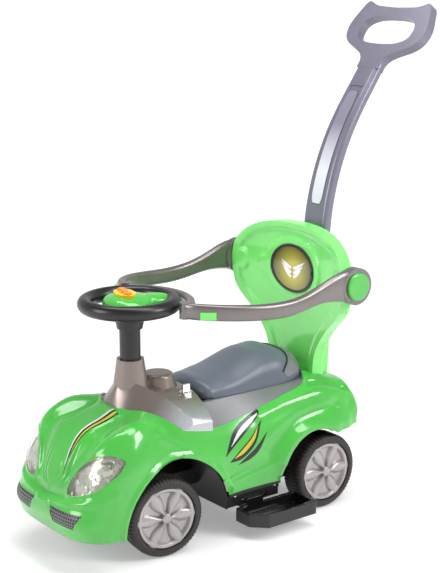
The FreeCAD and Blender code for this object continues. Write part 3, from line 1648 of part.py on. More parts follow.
pan_solid = fuse(
    "pan_solid",
    block("pan_tray", (-pan_half, pan_half), (pan_front_y, pan_rear_y), (pan_bottom, sill_height)),
    block("pan_flange", (-flange_half, flange_half), (pan_front_y, pan_rear_y), (flange_low, sill_height)),
    block("pan_axle_box", (-axle_box_half, axle_box_half), (pan_rear_y - pan_wall, rear_axle_y + axle_box_rear),
          (pan_bottom, axle_box_top)),
)
pan_hollow = fuse(
    "pan_hollow",
    block("tray_hollow", (-pan_inner, pan_inner), (pan_front_y + pan_wall, pan_rear_y - pan_wall),
          (pan_bottom + pan_wall, sill_height + OVERRUN)),
    block("box_hollow", (pan_wall - axle_box_half, axle_box_half - pan_wall),
          (pan_rear_y, rear_axle_y + axle_box_rear - pan_wall), (pan_bottom + pan_wall, axle_box_top + OVERRUN)),
)
pan_frame = fuse(
    "pan_frame",
    cut("pan_trays", pan_solid, pan_hollow),
    block("pan_spine", (-spine_half, spine_half), (spine_front_y, pan_front_y + pan_wall),
          (cross_low - spine_lower, spine_high)),
    block("pan_crossbar", (-kingpin_half, kingpin_half),
          (front_axle_y - crossbar_half, front_axle_y + crossbar_half), (cross_low, cross_high)),
    rod("pan_left_boss", "z", kingpin_boss, cross_low, cross_high, (kingpin_half, front_axle_y)),
    rod("pan_right_boss", "z", kingpin_boss, cross_low, cross_high, (-kingpin_half, front_axle_y)),
)
bush_radius = shaft_radius + bush_wall
bush_low = cross_low - spine_lower
kingpin_bore = kingpin_radius + running_clearance
bore_low, bore_high = cross_low - OVERRUN, cross_high + OVERRUN
pan_holes = [
    rod("pan_left_bore", "z", kingpin_bore, bore_low, bore_high, (kingpin_half, front_axle_y)),
    rod("pan_right_bore", "z", kingpin_bore, bore_low, bore_high, (-kingpin_half, front_axle_y)),
    rod("pan_shaft_bore", "z", bush_radius, bush_low, bore_high, steering_centre),
    rod("pan_axle_bore", "x", axle_radius, -flange_half, flange_half, (rear_axle_y, axle_height)),
    pan_slot("pan_left_slot", 1),
    pan_slot("pan_right_slot", -1),
]


def body_screw(name, x, y):
    shank = rod(name + "_shank", "z", screw_radius, flange_low, sill_height, (x, y))
    head = rod(name + "_head", "z", screw_head, flange_low - screw_head_thickness, flange_low, (x, y))
    return shank, head


screws = []
for row, y in (("front", pan_front_y + screw_in), ("rear", pan_rear_y - screw_in)):
    for name, side in (("left", 1), ("right", -1)):
        x = (pan_half + flange_half) * (side / 2)
        screws.append(body_screw(f"{name}_{row}_screw", x, y))
finish("chassis_pan", cut("chassis_pan", pan_frame, *pan_holes, *[shank for shank, head in screws]))
finish("body_screws", fuse("body_screws", *[piece for screw in screws for piece in screw]))
finish("steering_bush", cut(
    "steering_bush", rod("bush_outside", "z", bush_radius, bush_low, cross_high, steering_centre),
    rod("bush_bore", "z", shaft_radius + running_clearance, bush_low, cross_high, steering_centre)))


# Footrests: trays that pull out sideways from under the pan
def plate(label, corners, low, high):
    """A flat piece with the given outline seen from above."""
    body = doc.addObject("PartDesign::Body", label)
    sketch = body.newObject("Sketcher::SketchObject", label + "_outline")
    sketch.AttachmentSupport = [(origin_plane(body, "XY_Plane"), "")]
    sketch.MapMode = "FlatFace"
    sketch.setExpression("AttachmentOffset.Base.z", as_size(low).text)
    draw_loop(sketch, corners)
    pad = body.newObject("PartDesign::Pad", label + "_pad")
    pad.Profile = sketch
    pad.setExpression("Length", (as_size(high) - low).text)
    body.Tip = pad
    return body


# How much the cut-off corner shortens for each step inwards
CORNER_SHARE = 0.6


def tray_corners(side, inset):
    """The tray's outline, cut off at its outer front corner."""
    inner = footrest_out - footrest_tray + inset
    outer = footrest_out - inset
    front, rear = footrest_front_y + inset, footrest_rear_y - inset
    turn = footrest_corner - inset * CORNER_SHARE
    corners = [(inner, front), (outer - turn, front), (outer, front + turn), (outer, rear), (inner, rear)]
    return [(x * side, y) for x, y in (corners if side > 0 else reversed(corners))]


def make_footrest(label, side):
    inner = footrest_out - footrest_tray
    low = footrest_top - footrest_deep
    outside = plate(label + "_outside", tray_corners(side, 0), low, footrest_top)
    hollow = plate(label + "_hollow", tray_corners(side, footrest_rim), low + footrest_floor,
                   footrest_top + OVERRUN)
    tray = cut(label + "_tray", outside, hollow)
    web = block(label + "_web", ends(side, inner - footrest_tongue, inner + footrest_rim),
                (tongue_y - web_half, tongue_y + web_half), (footrest_top - web_depth, tongue_high))
    tongue = block(label + "_tongue", ends(side, inner - footrest_tongue, inner),
                   (tongue_y - tongue_half, tongue_y + tongue_half), (tongue_low, tongue_high))
    finish(label, fuse(label, tray, web, tongue))


paired(make_footrest, "footrest")

lenses, reflectors, grilles = nose_pieces()
holes = [lamp_prism(0.0), grille_prism()]
holes += [mirrored(hole) for hole in holes]
label_shape = label_solid()
handle_shape = make_handle(label_shape)
backrest_shape = make_backrest()
cover_shape = make_rear_cover(make_shield(), handle_shape)
tub_shape = make_tub()
body_skin = body_outer
for trim in body_trims():
    body_skin = body_skin.cut(trim)
core = body_inner
for trim in body_trims()[:3]:
    core = core.cut(trim)
body_skin = body_skin.cut(core)
for opening in [cowl_opening(), frame_opening(), make_shield()] + holes:
    body_skin = body_skin.cut(opening)
arm = make_guard_arm()
button_pocket = guard_button_box(float(side_clearance), -BUTTON_BODY - BUTTON_TRAVEL, TALL / 10)
arm = arm.cut(button_pocket)
button = guard_button_box(0.0, -BUTTON_BODY, float(guard_button_out))
bar = make_guard_bar([arm, mirrored(arm)])
pin = make_guard_pin()

made("body_shell", body_skin)
made("headlight_lenses", lenses)
made("headlight_reflectors", reflectors)
made("bumper_grilles", grilles)
cowl_shape = make_cowl()
key_seat = key_base(cowl_shape)
collar_hole = upright(key_collar_radius, key_seat - KEY_BELOW * 4, TALL, key_x, key_y)
made("dash_cowl", cowl_shape.cut(collar_hole))
made("ignition_collar", key_collar(key_seat))
made("ignition_key", make_key(key_seat))
made("seat_frame", make_frame(tub_shape).cut(lid_dome(LID_ROOM).solid()))
made("storage_tub", tub_shape)
made("seat_hinge_pin", hinge_rod(hinge_pin_radius, hinge_pin_half))
made("seat_lid", make_lid())
made("backrest_shield", backrest_shape)
made("backrest_badge", badge_solid())
made("backrest_rear_cover", cover_shape)
made("push_handle", handle_shape)
made("handle_label", label_shape)
made("guard_left_arm", arm)
made("guard_right_arm", mirrored(arm))
made("guard_front_bar", bar)
made("guard_left_button", button)
made("guard_right_button", mirrored(button))
made("guard_pivot_pins", both(pin))

doc.recompute()
for thing in doc.Objects:
    if "Invalid" in thing.State or "Error" in thing.State:
        raise ValueError(f"{thing.Label} did not build")
for node in nodes:
    if node.Shape.isNull() or not node.Shape.isValid():
        raise ValueError(f"{node.Label} has no valid shape")

os.makedirs("parts", exist_ok=True)
for node in nodes:
    node.Shape.exportStep(f"parts/{node.Label}.step")
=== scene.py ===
# %% [markdown]
# # A push car with a handle
# A toddler sits on this car while a grown-up pushes it from behind. The solid shapes come from CAD and
# stay where they are. This lesson gives each of them its real finish, and adds the details that a mould
# or a sticker adds: tread on the tyres, petals in the hubcaps, a raised panel on the hood, facets in the
# lamps and bright stripes.

# %% Load the frame
import json
import math

import bmesh
import bpy
import numpy as np
from mathutils import Matrix, Vector
from mathutils.bvhtree import BVHTree
from mathutils.kdtree import KDTree


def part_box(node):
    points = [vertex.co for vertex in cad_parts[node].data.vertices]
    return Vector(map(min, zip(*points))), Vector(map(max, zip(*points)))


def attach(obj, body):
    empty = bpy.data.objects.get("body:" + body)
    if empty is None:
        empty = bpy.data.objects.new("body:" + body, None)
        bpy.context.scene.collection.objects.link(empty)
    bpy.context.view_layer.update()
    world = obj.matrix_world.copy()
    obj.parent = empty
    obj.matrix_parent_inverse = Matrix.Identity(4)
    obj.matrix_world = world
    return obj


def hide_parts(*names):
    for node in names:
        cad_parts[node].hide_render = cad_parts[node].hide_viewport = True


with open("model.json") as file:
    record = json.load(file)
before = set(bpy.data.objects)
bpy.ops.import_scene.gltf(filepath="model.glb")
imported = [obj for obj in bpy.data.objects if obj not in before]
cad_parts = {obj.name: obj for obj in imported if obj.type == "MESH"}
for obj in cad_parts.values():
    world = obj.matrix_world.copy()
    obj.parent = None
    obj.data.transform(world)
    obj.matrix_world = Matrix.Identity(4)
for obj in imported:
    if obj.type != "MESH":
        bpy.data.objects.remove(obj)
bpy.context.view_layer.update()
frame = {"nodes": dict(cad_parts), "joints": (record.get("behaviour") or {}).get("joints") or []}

NODES = frame["nodes"]
MM = 0.001

# %% [markdown]
# ## Where the camera stands
# The car is seen from its front left corner, a little above the hood. A camera can be placed by eye, but
# then the wheels and the handle seldom meet the photograph both at once. So its place and its lens were
# fitted to the wheels, the steering ring, the backrest and the handle, and stand here as plain numbers.
# The long lens keeps the handle upright.

# %% Camera
CAMERA_PLACE = Vector((1.8497, -1.4623, 0.9699))
CAMERA_TURN, CAMERA_TILT = math.radians(52.25), math.radians(13.6)
FOCAL_PIXELS, PICTURE_LONG_SIDE, SENSOR, SEES_TO = 1400.0, 573.0, 36.0, 200.0

camera = bpy.data.objects.new("camera", bpy.data.cameras.new("camera"))
bpy.context.scene.collection.objects.link(camera)
camera.data.sensor_width = SENSOR
camera.data.lens = FOCAL_PIXELS * SENSOR / PICTURE_LONG_SIDE
camera.data.clip_end = SEES_TO
back = Vector((math.sin(CAMERA_TURN) * math.cos(CAMERA_TILT), -math.cos(CAMERA_TURN) * math.cos(CAMERA_TILT),
               math.sin(CAMERA_TILT)))
camera.location = CAMERA_PLACE
camera.rotation_euler = (-back).to_track_quat("-Z", "Y").to_euler()
bpy.context.scene.camera = camera
bpy.context.scene.view_settings.view_transform = "Standard"
print("lens in mm", round(camera.data.lens, 2))

# %% [markdown]
# ## Finishes are node trees
# Nearly all of the real car is moulded plastic, some of it painted. One flat colour would look drawn, and
# a picture of plastic wrapped round a piece would need a flat map of it first. So a finish here is a
# Principled shader with a little life in its inputs: colour that drifts by a few percent over the piece,
# gloss that isn't quite even, and a fine grain in the surface. One maker builds that tree from a few
# numbers, and what is the same all over the piece is set on the shader itself.

# %% Helpers for node trees
def blank_finish(name):
    """A new finish with its node tree and its shader."""
    finish = bpy.data.materials.new(name)
    finish.use_nodes = True
    tree = finish.node_tree
    return finish, tree, tree.nodes["Principled BSDF"]


def noise(tree, place, scale, detail):
    """A cloud pattern fixed to the piece, with its scale in waves per metre."""
    cloud = tree.nodes.new("ShaderNodeTexNoise")
    cloud.inputs["Scale"].default_value = scale
    cloud.inputs["Detail"].default_value = detail
    tree.links.new(place.outputs["Object"], cloud.inputs["Vector"])
    return cloud.outputs["Fac"]


def ranged(tree, value, low, high, start=0.3, end=0.7):
    """A value that runs from start to end, stretched to run from low to high."""
    step = tree.nodes.new("ShaderNodeMapRange")
    step.inputs["From Min"].default_value = start
    step.inputs["From Max"].default_value = end
    step.inputs["To Min"].default_value = low
    step.inputs["To Max"].default_value = high
    tree.links.new(value, step.inputs["Value"])
    return step.outputs["Result"]


def tinted(tree, share, first, second):
    """A colour between two others."""
    mix = tree.nodes.new("ShaderNodeMix")
    mix.data_type = "RGBA"
    mix.inputs["A"].default_value = (*first, 1)
    mix.inputs["B"].default_value = (*second, 1)
    tree.links.new(share, mix.inputs["Factor"])
    return mix.outputs["Result"]


def grained(tree, shader, height, deep):
    """A fine relief of the surface, with its depth in metres."""
    bump = tree.nodes.new("ShaderNodeBump")
    bump.inputs["Strength"].default_value = 1.0
    bump.inputs["Distance"].default_value = deep
    tree.links.new(height, bump.inputs["Height"])
    tree.links.new(bump.outputs["Normal"], shader.inputs["Normal"])


print("helpers for node trees are ready")

# %% A maker of moulded finishes
SLOW_WAVES, SLOW_DETAIL, FINE_DETAIL = 14, 4, 2
GLOSS_LOW, GLOSS_HIGH = 0.85, 1.2


def glossed(tree, shader, place, waves, gloss, low=GLOSS_LOW):
    """Roughness that varies a little with a fine pattern, which is handed back."""
    fine = noise(tree, place, waves, FINE_DETAIL)
    tree.links.new(ranged(tree, fine, gloss * low, gloss * GLOSS_HIGH), shader.inputs["Roughness"])
    return fine


def moulded(name, colour, gloss, drift=0.06, grain=(700, 0.00002), **even):
    """A moulded or painted finish. Colour is linear, gloss is the roughness, and even sets sockets."""
    finish, tree, shader = blank_finish(name)
    place = tree.nodes.new("ShaderNodeTexCoord")
    slow = noise(tree, place, SLOW_WAVES, SLOW_DETAIL)
    darker = [c * (1 - drift) for c in colour]
    lighter = [min(1, c * (1 + drift)) for c in colour]
    tree.links.new(tinted(tree, ranged(tree, slow, 0, 1), darker, lighter), shader.inputs["Base Color"])
    grained(tree, shader, glossed(tree, shader, place, grain[0], gloss), grain[1])
    for socket, value in even.items():
        shader.inputs[socket.replace("_", " ")].default_value = value
    return finish


print("the maker of moulded finishes is ready")

# %% [markdown]
# ## Finishes that change over a piece
# Three pieces change their colour from one place to another: the badge from its middle to its rim, the
# cowl towards its two ends, and the handle's panel from its foot upward. The cowl's bright ends and the
# panel's pale foot are painted highlights. Colours painted on the points of a mesh could do that, but a
# solid from CAD has few points on a flat face. So the place on the piece drives the mix of two colours,
# which works on any mesh.

# %% Makers of changing finishes
OVAL_WAVES, OVAL_GLOSS_LOW, OVAL_COAT, OVAL_MIDDLE = 900, 0.8, 0.6, 0.3
SILVER_WAVES, SILVER_METAL, PANEL_WAVES = 2200, 0.6, 1500


def glowing_oval(name, middle, reach, bright, dark, gloss):
    """A plate that is bright in its middle and dark towards its rim."""
    finish, tree, shader = blank_finish(name)
    place = tree.nodes.new("ShaderNodeTexCoord")
    far = tree.nodes.new("ShaderNodeVectorMath")
    far.operation = "DISTANCE"
    far.inputs[1].default_value = middle
    tree.links.new(place.outputs["Object"], far.inputs[0])
    share = ranged(tree, far.outputs["Value"], 0, 1, OVAL_MIDDLE * reach, reach)
    tree.links.new(tinted(tree, share, bright, dark), shader.inputs["Base Color"])
    glossed(tree, shader, place, OVAL_WAVES, gloss, OVAL_GLOSS_LOW)
    shader.inputs["Coat Weight"].default_value = OVAL_COAT
    return finish


def split(tree, vector):
    """The three parts of a place or a direction."""
    parts = tree.nodes.new("ShaderNodeSeparateXYZ")
    tree.links.new(vector, parts.inputs["Vector"])
    return parts.outputs


def painted_highlight_silver(name, colour, highlight_colour, start, end, gloss):
    """A silver paint with a painted highlight: it turns bright towards both ends of a wide piece."""
    finish, tree, shader = blank_finish(name)
    place = tree.nodes.new("ShaderNodeTexCoord")
    out = tree.nodes.new("ShaderNodeMath")
    out.operation = "ABSOLUTE"
    tree.links.new(split(tree, place.outputs["Object"])["X"], out.inputs[0])
    share = ranged(tree, out.outputs["Value"], 0, 1, start, end)
    tree.links.new(tinted(tree, share, colour, highlight_colour), shader.inputs["Base Color"])
    glossed(tree, shader, place, SILVER_WAVES, gloss)
    shader.inputs["Metallic"].default_value = SILVER_METAL
    return finish


def painted_highlight_panel(name, highlight_foot_colour, high_colour, start, end, gloss):
    """A smooth panel with a painted highlight: it is pale at its foot and fades to a darker colour higher up.
    """
    finish, tree, shader = blank_finish(name)
    place = tree.nodes.new("ShaderNodeTexCoord")
    share = ranged(tree, split(tree, place.outputs["Object"])["Z"], 0, 1, start, end)
    tree.links.new(tinted(tree, share, highlight_foot_colour, high_colour), shader.inputs["Base Color"])
    glossed(tree, shader, place, PANEL_WAVES, gloss)
    return finish


print("the makers of changing finishes are ready")

# %% [markdown]
# ## The finishes of this car
# Each name in the table is a slot of the CAD record, so every solid piece finds its finish by the name it
# came with, and nothing has to be picked by hand. Two kinds of piece differ from their slot: the
# footrests are glossier than the other black parts, and the pins of the guard are green.

# %% Finishes on the solids
FINE_GRAIN = (2200, 0.00001)
SHELL_GREEN = (0.075, 0.52, 0.065)
LIGHT_GREEN = (0.22, 0.93, 0.19)
FINISHES = {
    "green_body": moulded("green shell", SHELL_GREEN, 0.17, Coat_Weight=0.5, Coat_Roughness=0.06),
    "light_green": moulded("light green shell", LIGHT_GREEN, 0.18, Subsurface_Weight=0.2,
                           Subsurface_Scale=0.02, Coat_Weight=0.7, Coat_Roughness=0.05),
    # The cowl is warm silver, and its bright ends are a painted highlight.
    "silver_cowl": painted_highlight_silver("warm silver paint with painted highlights at its ends", (0.3, 0.25, 0.225), (0.5, 0.505, 0.54), 0.062, 0.088,
                               0.28),
    "chrome_trim": moulded("bright plating", (0.78, 0.78, 0.8), 0.12, drift=0.03, Metallic=1.0),
    "grey_frame": moulded("grey frame paint", (0.23, 0.23, 0.245), 0.32, grain=FINE_GRAIN, Metallic=0.4),
    "black_plastic": moulded("black moulding", (0.012, 0.011, 0.012), 0.3, grain=(900, 0.00002)),
    "steel": moulded("plated steel", (0.5, 0.5, 0.5), 0.3, Metallic=1.0),
    "blue_grey_seat": moulded("blue grey seat", (0.125, 0.145, 0.185), 0.34, grain=(1600, 0.00004)),
    "lavender_handle": moulded("lavender grey paint", (0.22, 0.21, 0.275), 0.3, grain=FINE_GRAIN,
                               Metallic=0.45),
    # The handle's panel is pale at its foot, and that pale foot is a painted highlight.
    "pale_label": painted_highlight_panel("label panel with a painted highlight at its foot", (0.78, 0.8, 0.88), (0.24, 0.23, 0.3), 0.585, 0.665, 0.16),
    "bronze_guard": moulded("bronze grey paint", (0.215, 0.195, 0.19), 0.27, grain=FINE_GRAIN, Metallic=0.6),
    "white_bush": moulded("white nylon", (0.75, 0.75, 0.73), 0.4),
    "yellow_horn": moulded("yellow horn", (0.85, 0.6, 0.02), 0.28),
    "orange_button": moulded("orange button", (0.85, 0.27, 0.02), 0.28),
    "dark_tyre": moulded("dark tyre", (0.026, 0.021, 0.02), 0.5, drift=0.15, grain=(1200, 0.00005)),
    "silver_hubcap": moulded("silver hubcap", (0.44, 0.41, 0.405), 0.3, grain=FINE_GRAIN, Metallic=0.45),
    "gold_badge": glowing_oval("olive gold", (0.0, 0.133, 0.408), 0.05, (0.62, 0.56, 0.06),
                               (0.1, 0.095, 0.02), 0.2),
    "bright_reflector": moulded("bright reflector", (0.6, 0.6, 0.52), 0.3, drift=0.1, Metallic=0.85),
    "dark_mesh": moulded("dark mesh", (0.03, 0.03, 0.032), 0.45),
    "clear_lens": moulded("clear lens", (0.97, 0.98, 0.97), 0.03, drift=0.01, grain=(300, 0.000005),
                          Transmission_Weight=1.0, IOR=1.45),
}
for node in NODES.values():
    for holder in node.material_slots:
        holder.material = FINISHES[holder.material.name.split(".")[0]]
BLACK_GLOSS = moulded("glossy black tray", (0.01, 0.01, 0.01), 0.07, grain=(500, 0.000005))
for tray in ("left_footrest", "right_footrest"):
    for holder in NODES[tray].material_slots:
        holder.material = BLACK_GLOSS
for holder in NODES["guard_pivot_pins"].material_slots:
    holder.material = FINISHES["green_body"]
print("finishes", len(FINISHES) + 1, "on", len(NODES), "solid pieces")

# %% [markdown]
# ## Floor
# The car stands on a white sweep, as in a catalogue. Stronger lamps would turn the floor white too, but
# they would bleach the green. So the lamps stay at a plain level, and only what the camera, mirrors and
# glass see of the floor is lifted to white. The lift is weaker near the car, which keeps its shadow.

# %% Floor
FLOOR_HALF = 60.0
LIFT_NEAR, LIFT_FAR, LIFT_FROM, LIFT_TO = 0.3, 0.75, 0.7, 2.6
FLOOR_GREY, FLOOR_ROUGH, FLOOR_SHINE = 0.86, 0.6, 0.2


def rays_that_look(tree):
    """One for the rays of the camera and of mirrors and glass, nothing for the rest."""
    path = tree.nodes.new("ShaderNodeLightPath")
    total = path.outputs["Is Camera Ray"]
    for kind in ("Is Glossy Ray", "Is Transmission Ray"):
        both = tree.nodes.new("ShaderNodeMath")
        both.operation = "MAXIMUM"
        tree.links.new(total, both.inputs[0])
        tree.links.new(path.outputs[kind], both.inputs[1])
        total = both.outputs[0]
    return total


def make_floor():
    corners = [(-FLOOR_HALF, -FLOOR_HALF, 0), (FLOOR_HALF, -FLOOR_HALF, 0), (FLOOR_HALF, FLOOR_HALF, 0),
               (-FLOOR_HALF, FLOOR_HALF, 0)]
    plane = bpy.data.meshes.new("floor")
    plane.from_pydata(corners, [], [(0, 1, 2, 3)])
    floor = bpy.data.objects.new("floor", plane)
    bpy.context.scene.collection.objects.link(floor)
    finish, tree, shader = blank_finish("white floor")
    shader.inputs["Base Color"].default_value = (FLOOR_GREY, FLOOR_GREY, FLOOR_GREY, 1)
    shader.inputs["Roughness"].default_value = FLOOR_ROUGH
    shader.inputs["Specular IOR Level"].default_value = FLOOR_SHINE
    shader.inputs["Emission Color"].default_value = (1, 1, 1, 1)
    place = tree.nodes.new("ShaderNodeTexCoord")
    far = tree.nodes.new("ShaderNodeVectorMath")
    far.operation = "LENGTH"
    tree.links.new(place.outputs["Object"], far.inputs[0])
    lift = tree.nodes.new("ShaderNodeMath")
    lift.operation = "MULTIPLY"
    amount = ranged(tree, far.outputs["Value"], LIFT_NEAR, LIFT_FAR, LIFT_FROM, LIFT_TO)
    tree.links.new(amount, lift.inputs[0])
    tree.links.new(rays_that_look(tree), lift.inputs[1])
    tree.links.new(lift.outputs["Value"], shader.inputs["Emission Strength"])
    plane.materials.append(finish)


make_floor()
print("floor laid")

# %% [markdown]
# ## Sky and lamps
# The sky is white where the camera sees it, weaker where it lights the car, and darker overhead in
# reflections, so glossy pieces show a soft edge between light and dark. A picture of a studio could light
# the car as well, but these three levels are easier to set. Three soft lamps then draw the bright bands
# on the shell.

# %% Sky
SKY_LIGHT, SKY_SEEN = 0.5, 1.0
MIRROR_HORIZON, MIRROR_CEILING, MIRROR_FROM, MIRROR_TO = 0.95, 0.28, 0.1, 0.8


def make_sky():
    world = bpy.data.worlds.new("studio")
    bpy.context.scene.world = world
    world.use_nodes = True
    tree = world.node_tree
    sky = tree.nodes["Background"]
    sky.inputs["Color"].default_value = (1, 1, 1, 1)
    sky.inputs["Strength"].default_value = SKY_SEEN
    mirrored = tree.nodes.new("ShaderNodeBackground")
    place = tree.nodes.new("ShaderNodeTexCoord")
    height = split(tree, place.outputs["Generated"])["Z"]
    tree.links.new(ranged(tree, height, MIRROR_HORIZON, MIRROR_CEILING, MIRROR_FROM, MIRROR_TO),
                   mirrored.inputs["Strength"])
    spread = tree.nodes.new("ShaderNodeBackground")
    spread.inputs["Strength"].default_value = SKY_LIGHT
    path = tree.nodes.new("ShaderNodeLightPath")
    shown = spread.outputs["Background"]
    for kind, other in (("Is Glossy Ray", mirrored), ("Is Camera Ray", sky)):
        mix = tree.nodes.new("ShaderNodeMixShader")
        tree.links.new(path.outputs[kind], mix.inputs["Fac"])
        tree.links.new(shown, mix.inputs[1])
        tree.links.new(other.outputs["Background"], mix.inputs[2])
        shown = mix.outputs["Shader"]
    tree.links.new(shown, tree.nodes["World Output"].inputs["Surface"])


make_sky()
print("sky made")


# %% Lamps
def softbox(name, place, aim, wide, long, power):
    lamp = bpy.data.objects.new(name, bpy.data.lights.new(name, "AREA"))
    lamp.data.shape = "RECTANGLE"
    lamp.data.size, lamp.data.size_y = wide, long
    lamp.data.energy = power
    lamp.location = place
    lamp.rotation_euler = (Vector(aim) - Vector(place)).to_track_quat("-Z", "Y").to_euler()
    bpy.context.scene.collection.objects.link(lamp)


CAR_MIDDLE = (0.0, -0.05, 0.3)
softbox("lamp_above", (0.15, 0.0, 1.9), CAR_MIDDLE, 0.55, 2.4, 26)
softbox("lamp_right", (2.0, 1.2, 1.6), CAR_MIDDLE, 0.7, 1.2, 30)
softbox("lamp_front", (-0.5, -2.4, 1.3), CAR_MIDDLE, 1.0, 1.2, 24)
print("lamps", len(bpy.data.lights))

# %% [markdown]
# ## The green shell
# The real shell is one blow-moulded skin with fender crests, a valley beside the hood and lips round the
# wheel arches. Its solid has the main form. The rest could be sculpted by hand, but then openings and
# edges would drift away from the solid. So a finer copy of the solid's own skin is pushed in and out by a
# few millimetres, which keeps every opening where the solid has it.

# %% Fine copies of a solid
WELD = 0.00001
CUT_ROUNDS, MOST_POINTS = 6, 80000


def fine_copy(node, longest, finer=1.0, finer_before=-math.inf):
    """The mesh of a solid, welded and cut until its edges are about as short as longest, finer in front."""
    skin = bmesh.new()
    skin.from_mesh(NODES[node].data)
    bmesh.ops.remove_doubles(skin, verts=skin.verts, dist=WELD)
    bmesh.ops.triangulate(skin, faces=skin.faces)
    for _ in range(CUT_ROUNDS):
        long_edges = [edge for edge in skin.edges if edge.calc_length() > longest * (
            finer if edge.verts[0].co.y < finer_before else 1.0)]
        if not long_edges or len(skin.verts) > MOST_POINTS:
            break
        bmesh.ops.subdivide_edges(skin, edges=long_edges, cuts=1)
        bmesh.ops.triangulate(skin, faces=[face for face in skin.faces if len(face.verts) > 3])
    skin.verts.index_update()
    skin.normal_update()
    return skin


print("a fine copy is cut in at most", CUT_ROUNDS, "rounds")

# %% Evening out a skin
SHARP = math.radians(28)


def free_points(skin):
    """True for each point that lies on no sharp edge."""
    free = np.ones(len(skin.verts), bool)
    for edge in skin.edges:
        if len(edge.link_faces) != 2 or edge.calc_face_angle() > SHARP:
            for point in edge.verts:
                free[point.index] = False
    return free


def relax(skin, free, rounds):
    """Evens out the flat facets of the solid's mesh."""
    points = np.array([point.co for point in skin.verts])
    edges = np.array([[edge.verts[0].index, edge.verts[1].index] for edge in skin.edges])
    count = np.bincount(edges.ravel(), minlength=len(points))
    for _ in range(rounds):
        total = np.zeros_like(points)
        np.add.at(total, edges[:, 0], points[edges[:, 1]])
        np.add.at(total, edges[:, 1], points[edges[:, 0]])
        mean = total / count[:, None]
        points[free] += (mean - points)[free] / 2
    for point, place in zip(skin.verts, points):
        point.co = place
    skin.normal_update()


print("edges are sharp from", round(math.degrees(SHARP)), "degrees")


# %% Pieces in the scene
def show(name, mesh, body, slot, finish=None, smooth=True):
    """Puts a mesh in the scene as a named piece that rides on a body."""
    piece = bpy.data.objects.new(name, mesh)
    bpy.context.scene.collection.objects.link(piece)
    mesh.materials.clear()
    mesh.materials.append(finish or FINISHES[slot])
    mesh.polygons.foreach_set("use_smooth", [smooth] * len(mesh.polygons))
    if smooth:
        mesh.set_sharp_from_angle(angle=SHARP)
    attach(piece, body)
    return piece


def mesh_of(skin, name):
    mesh = bpy.data.meshes.new(name)
    skin.to_mesh(mesh)
    skin.free()
    return mesh


print("makers for pieces are ready")

# %% [markdown]
# ## Lines that shape the shell
# On the real car the crests and valleys run along soft lines from the nose to the tail. Drawn lines can
# make them without sculpting: each is a run of points on one half of the shell, in millimetres, mirrored
# for the other half. A positive rise makes a crest and a negative one a valley, and both fade out
# sideways over the reach. A line is easy to move, and that is why this way was chosen.

# %% Crests, valleys and arch lips
# By name: the rise, the reach to each side and the points
SHELL_LINES = {
    "valley beside the hood": (-4.5, 16, [
        (40, -262, 236), (53, -291, 223), (63, -322, 213), (61, -340, 199), (52, -356, 175),
        (44, -366, 152)]),
    "front fender crest": (2.0, 15, [
        (82, -338, 200), (93, -318, 215), (98, -296, 223), (100, -275, 226), (103, -250, 216)]),
    "front fender shoulder": (4.0, 13, [
        (104, -232, 206), (106, -205, 192), (110, -185, 180), (112, -165, 166), (115, -148, 149),
        (117, -130, 125), (118, -112, 95)]),
    "fold before the rear fender": (-4.5, 12, [
        (114, -8, 131), (114, 12, 148), (113, 35, 163), (112, 60, 176), (112, 95, 182), (108, 140, 182)]),
    "rear fender flare": (4.5, 14, [
        (117, 12, 112), (117, 26, 132), (117, 50, 150), (118, 85, 158), (118, 125, 156),
        (114, 165, 146)]),
    "rear fender crest": (4.0, 11, [
        (98, -20, 198), (96, 30, 206), (96, 72, 209), (97, 98, 211), (98, 128, 211), (98, 164, 200),
        (100, 187, 187), (105, 196, 165)]),
    "groove below the tail deck": (-7.5, 9, [
        (74, 78, 228), (77, 112, 227), (83, 134, 223), (86, 160, 214), (88, 180, 204)]),
    "fold above the sill": (-2.0, 6, [
        (117, -95, 102), (115, -66, 107), (115, -33, 112), (116, 0, 119)]),
    "groove above the bumper": (-4.0, 7, [
        (0, -386, 117), (30, -383, 119), (60, -377, 125), (84, -370, 130)]),
    "bumper lip": (3.0, 7, [
        (0, -392, 105), (30, -390, 107), (66, -383, 114), (92, -372, 119), (112, -352, 124),
        (122, -332, 132)]),
}
ARCHES = [((-210, 57), (110, 110)), ((90, 57), (83, 101))]
ARCH_LIP, ARCH_LIP_WIDE, ARCH_FROM, ARCH_FULL = 3.0, 11.0, 95.0, 103.0


def distance_to_line(points, line):
    """The distance of each point from a run of straight pieces."""
    nearest = np.full(len(points), np.inf)
    for start, end in zip(np.array(line[:-1], float), np.array(line[1:], float)):
        along = end - start
        share = np.clip((points - start) @ along / (along @ along), 0, 1)
        nearest = np.minimum(nearest, np.linalg.norm(points - start - share[:, None] * along, axis=1))
    return nearest


def eased(value, start, end):
    """A soft step from nothing at start to one at end."""
    share = np.clip((value - start) / (end - start), 0, 1)
    return share * share * (3 - 2 * share)


def arch_lips(points):
    """A rounded flare along the rims of the wheel arches."""
    rise = np.zeros(len(points))
    for (y, z), (long, high) in ARCHES:
        off = np.hypot((points[:, 1] - y) / long, (points[:, 2] - z) / high) - 1
        beyond = off * min(long, high)
        rise = np.maximum(rise, ARCH_LIP * (1 - eased(np.abs(beyond), 0, ARCH_LIP_WIDE)))
    return rise * eased(points[:, 0], ARCH_FROM, ARCH_FULL)


print("lines on each half of the shell", len(SHELL_LINES))

# %% [markdown]
# ## The panel on the hood
# A raised panel runs over the middle of the hood and ends round at the nose, with two fine grooves inside
# its edge. A separate piece on top would leave a hard rim, so the panel is one more rise of the same
# skin. It is drawn by the angle round an axis inside the nose, because the hood bends over there and no
# flat drawing follows it.

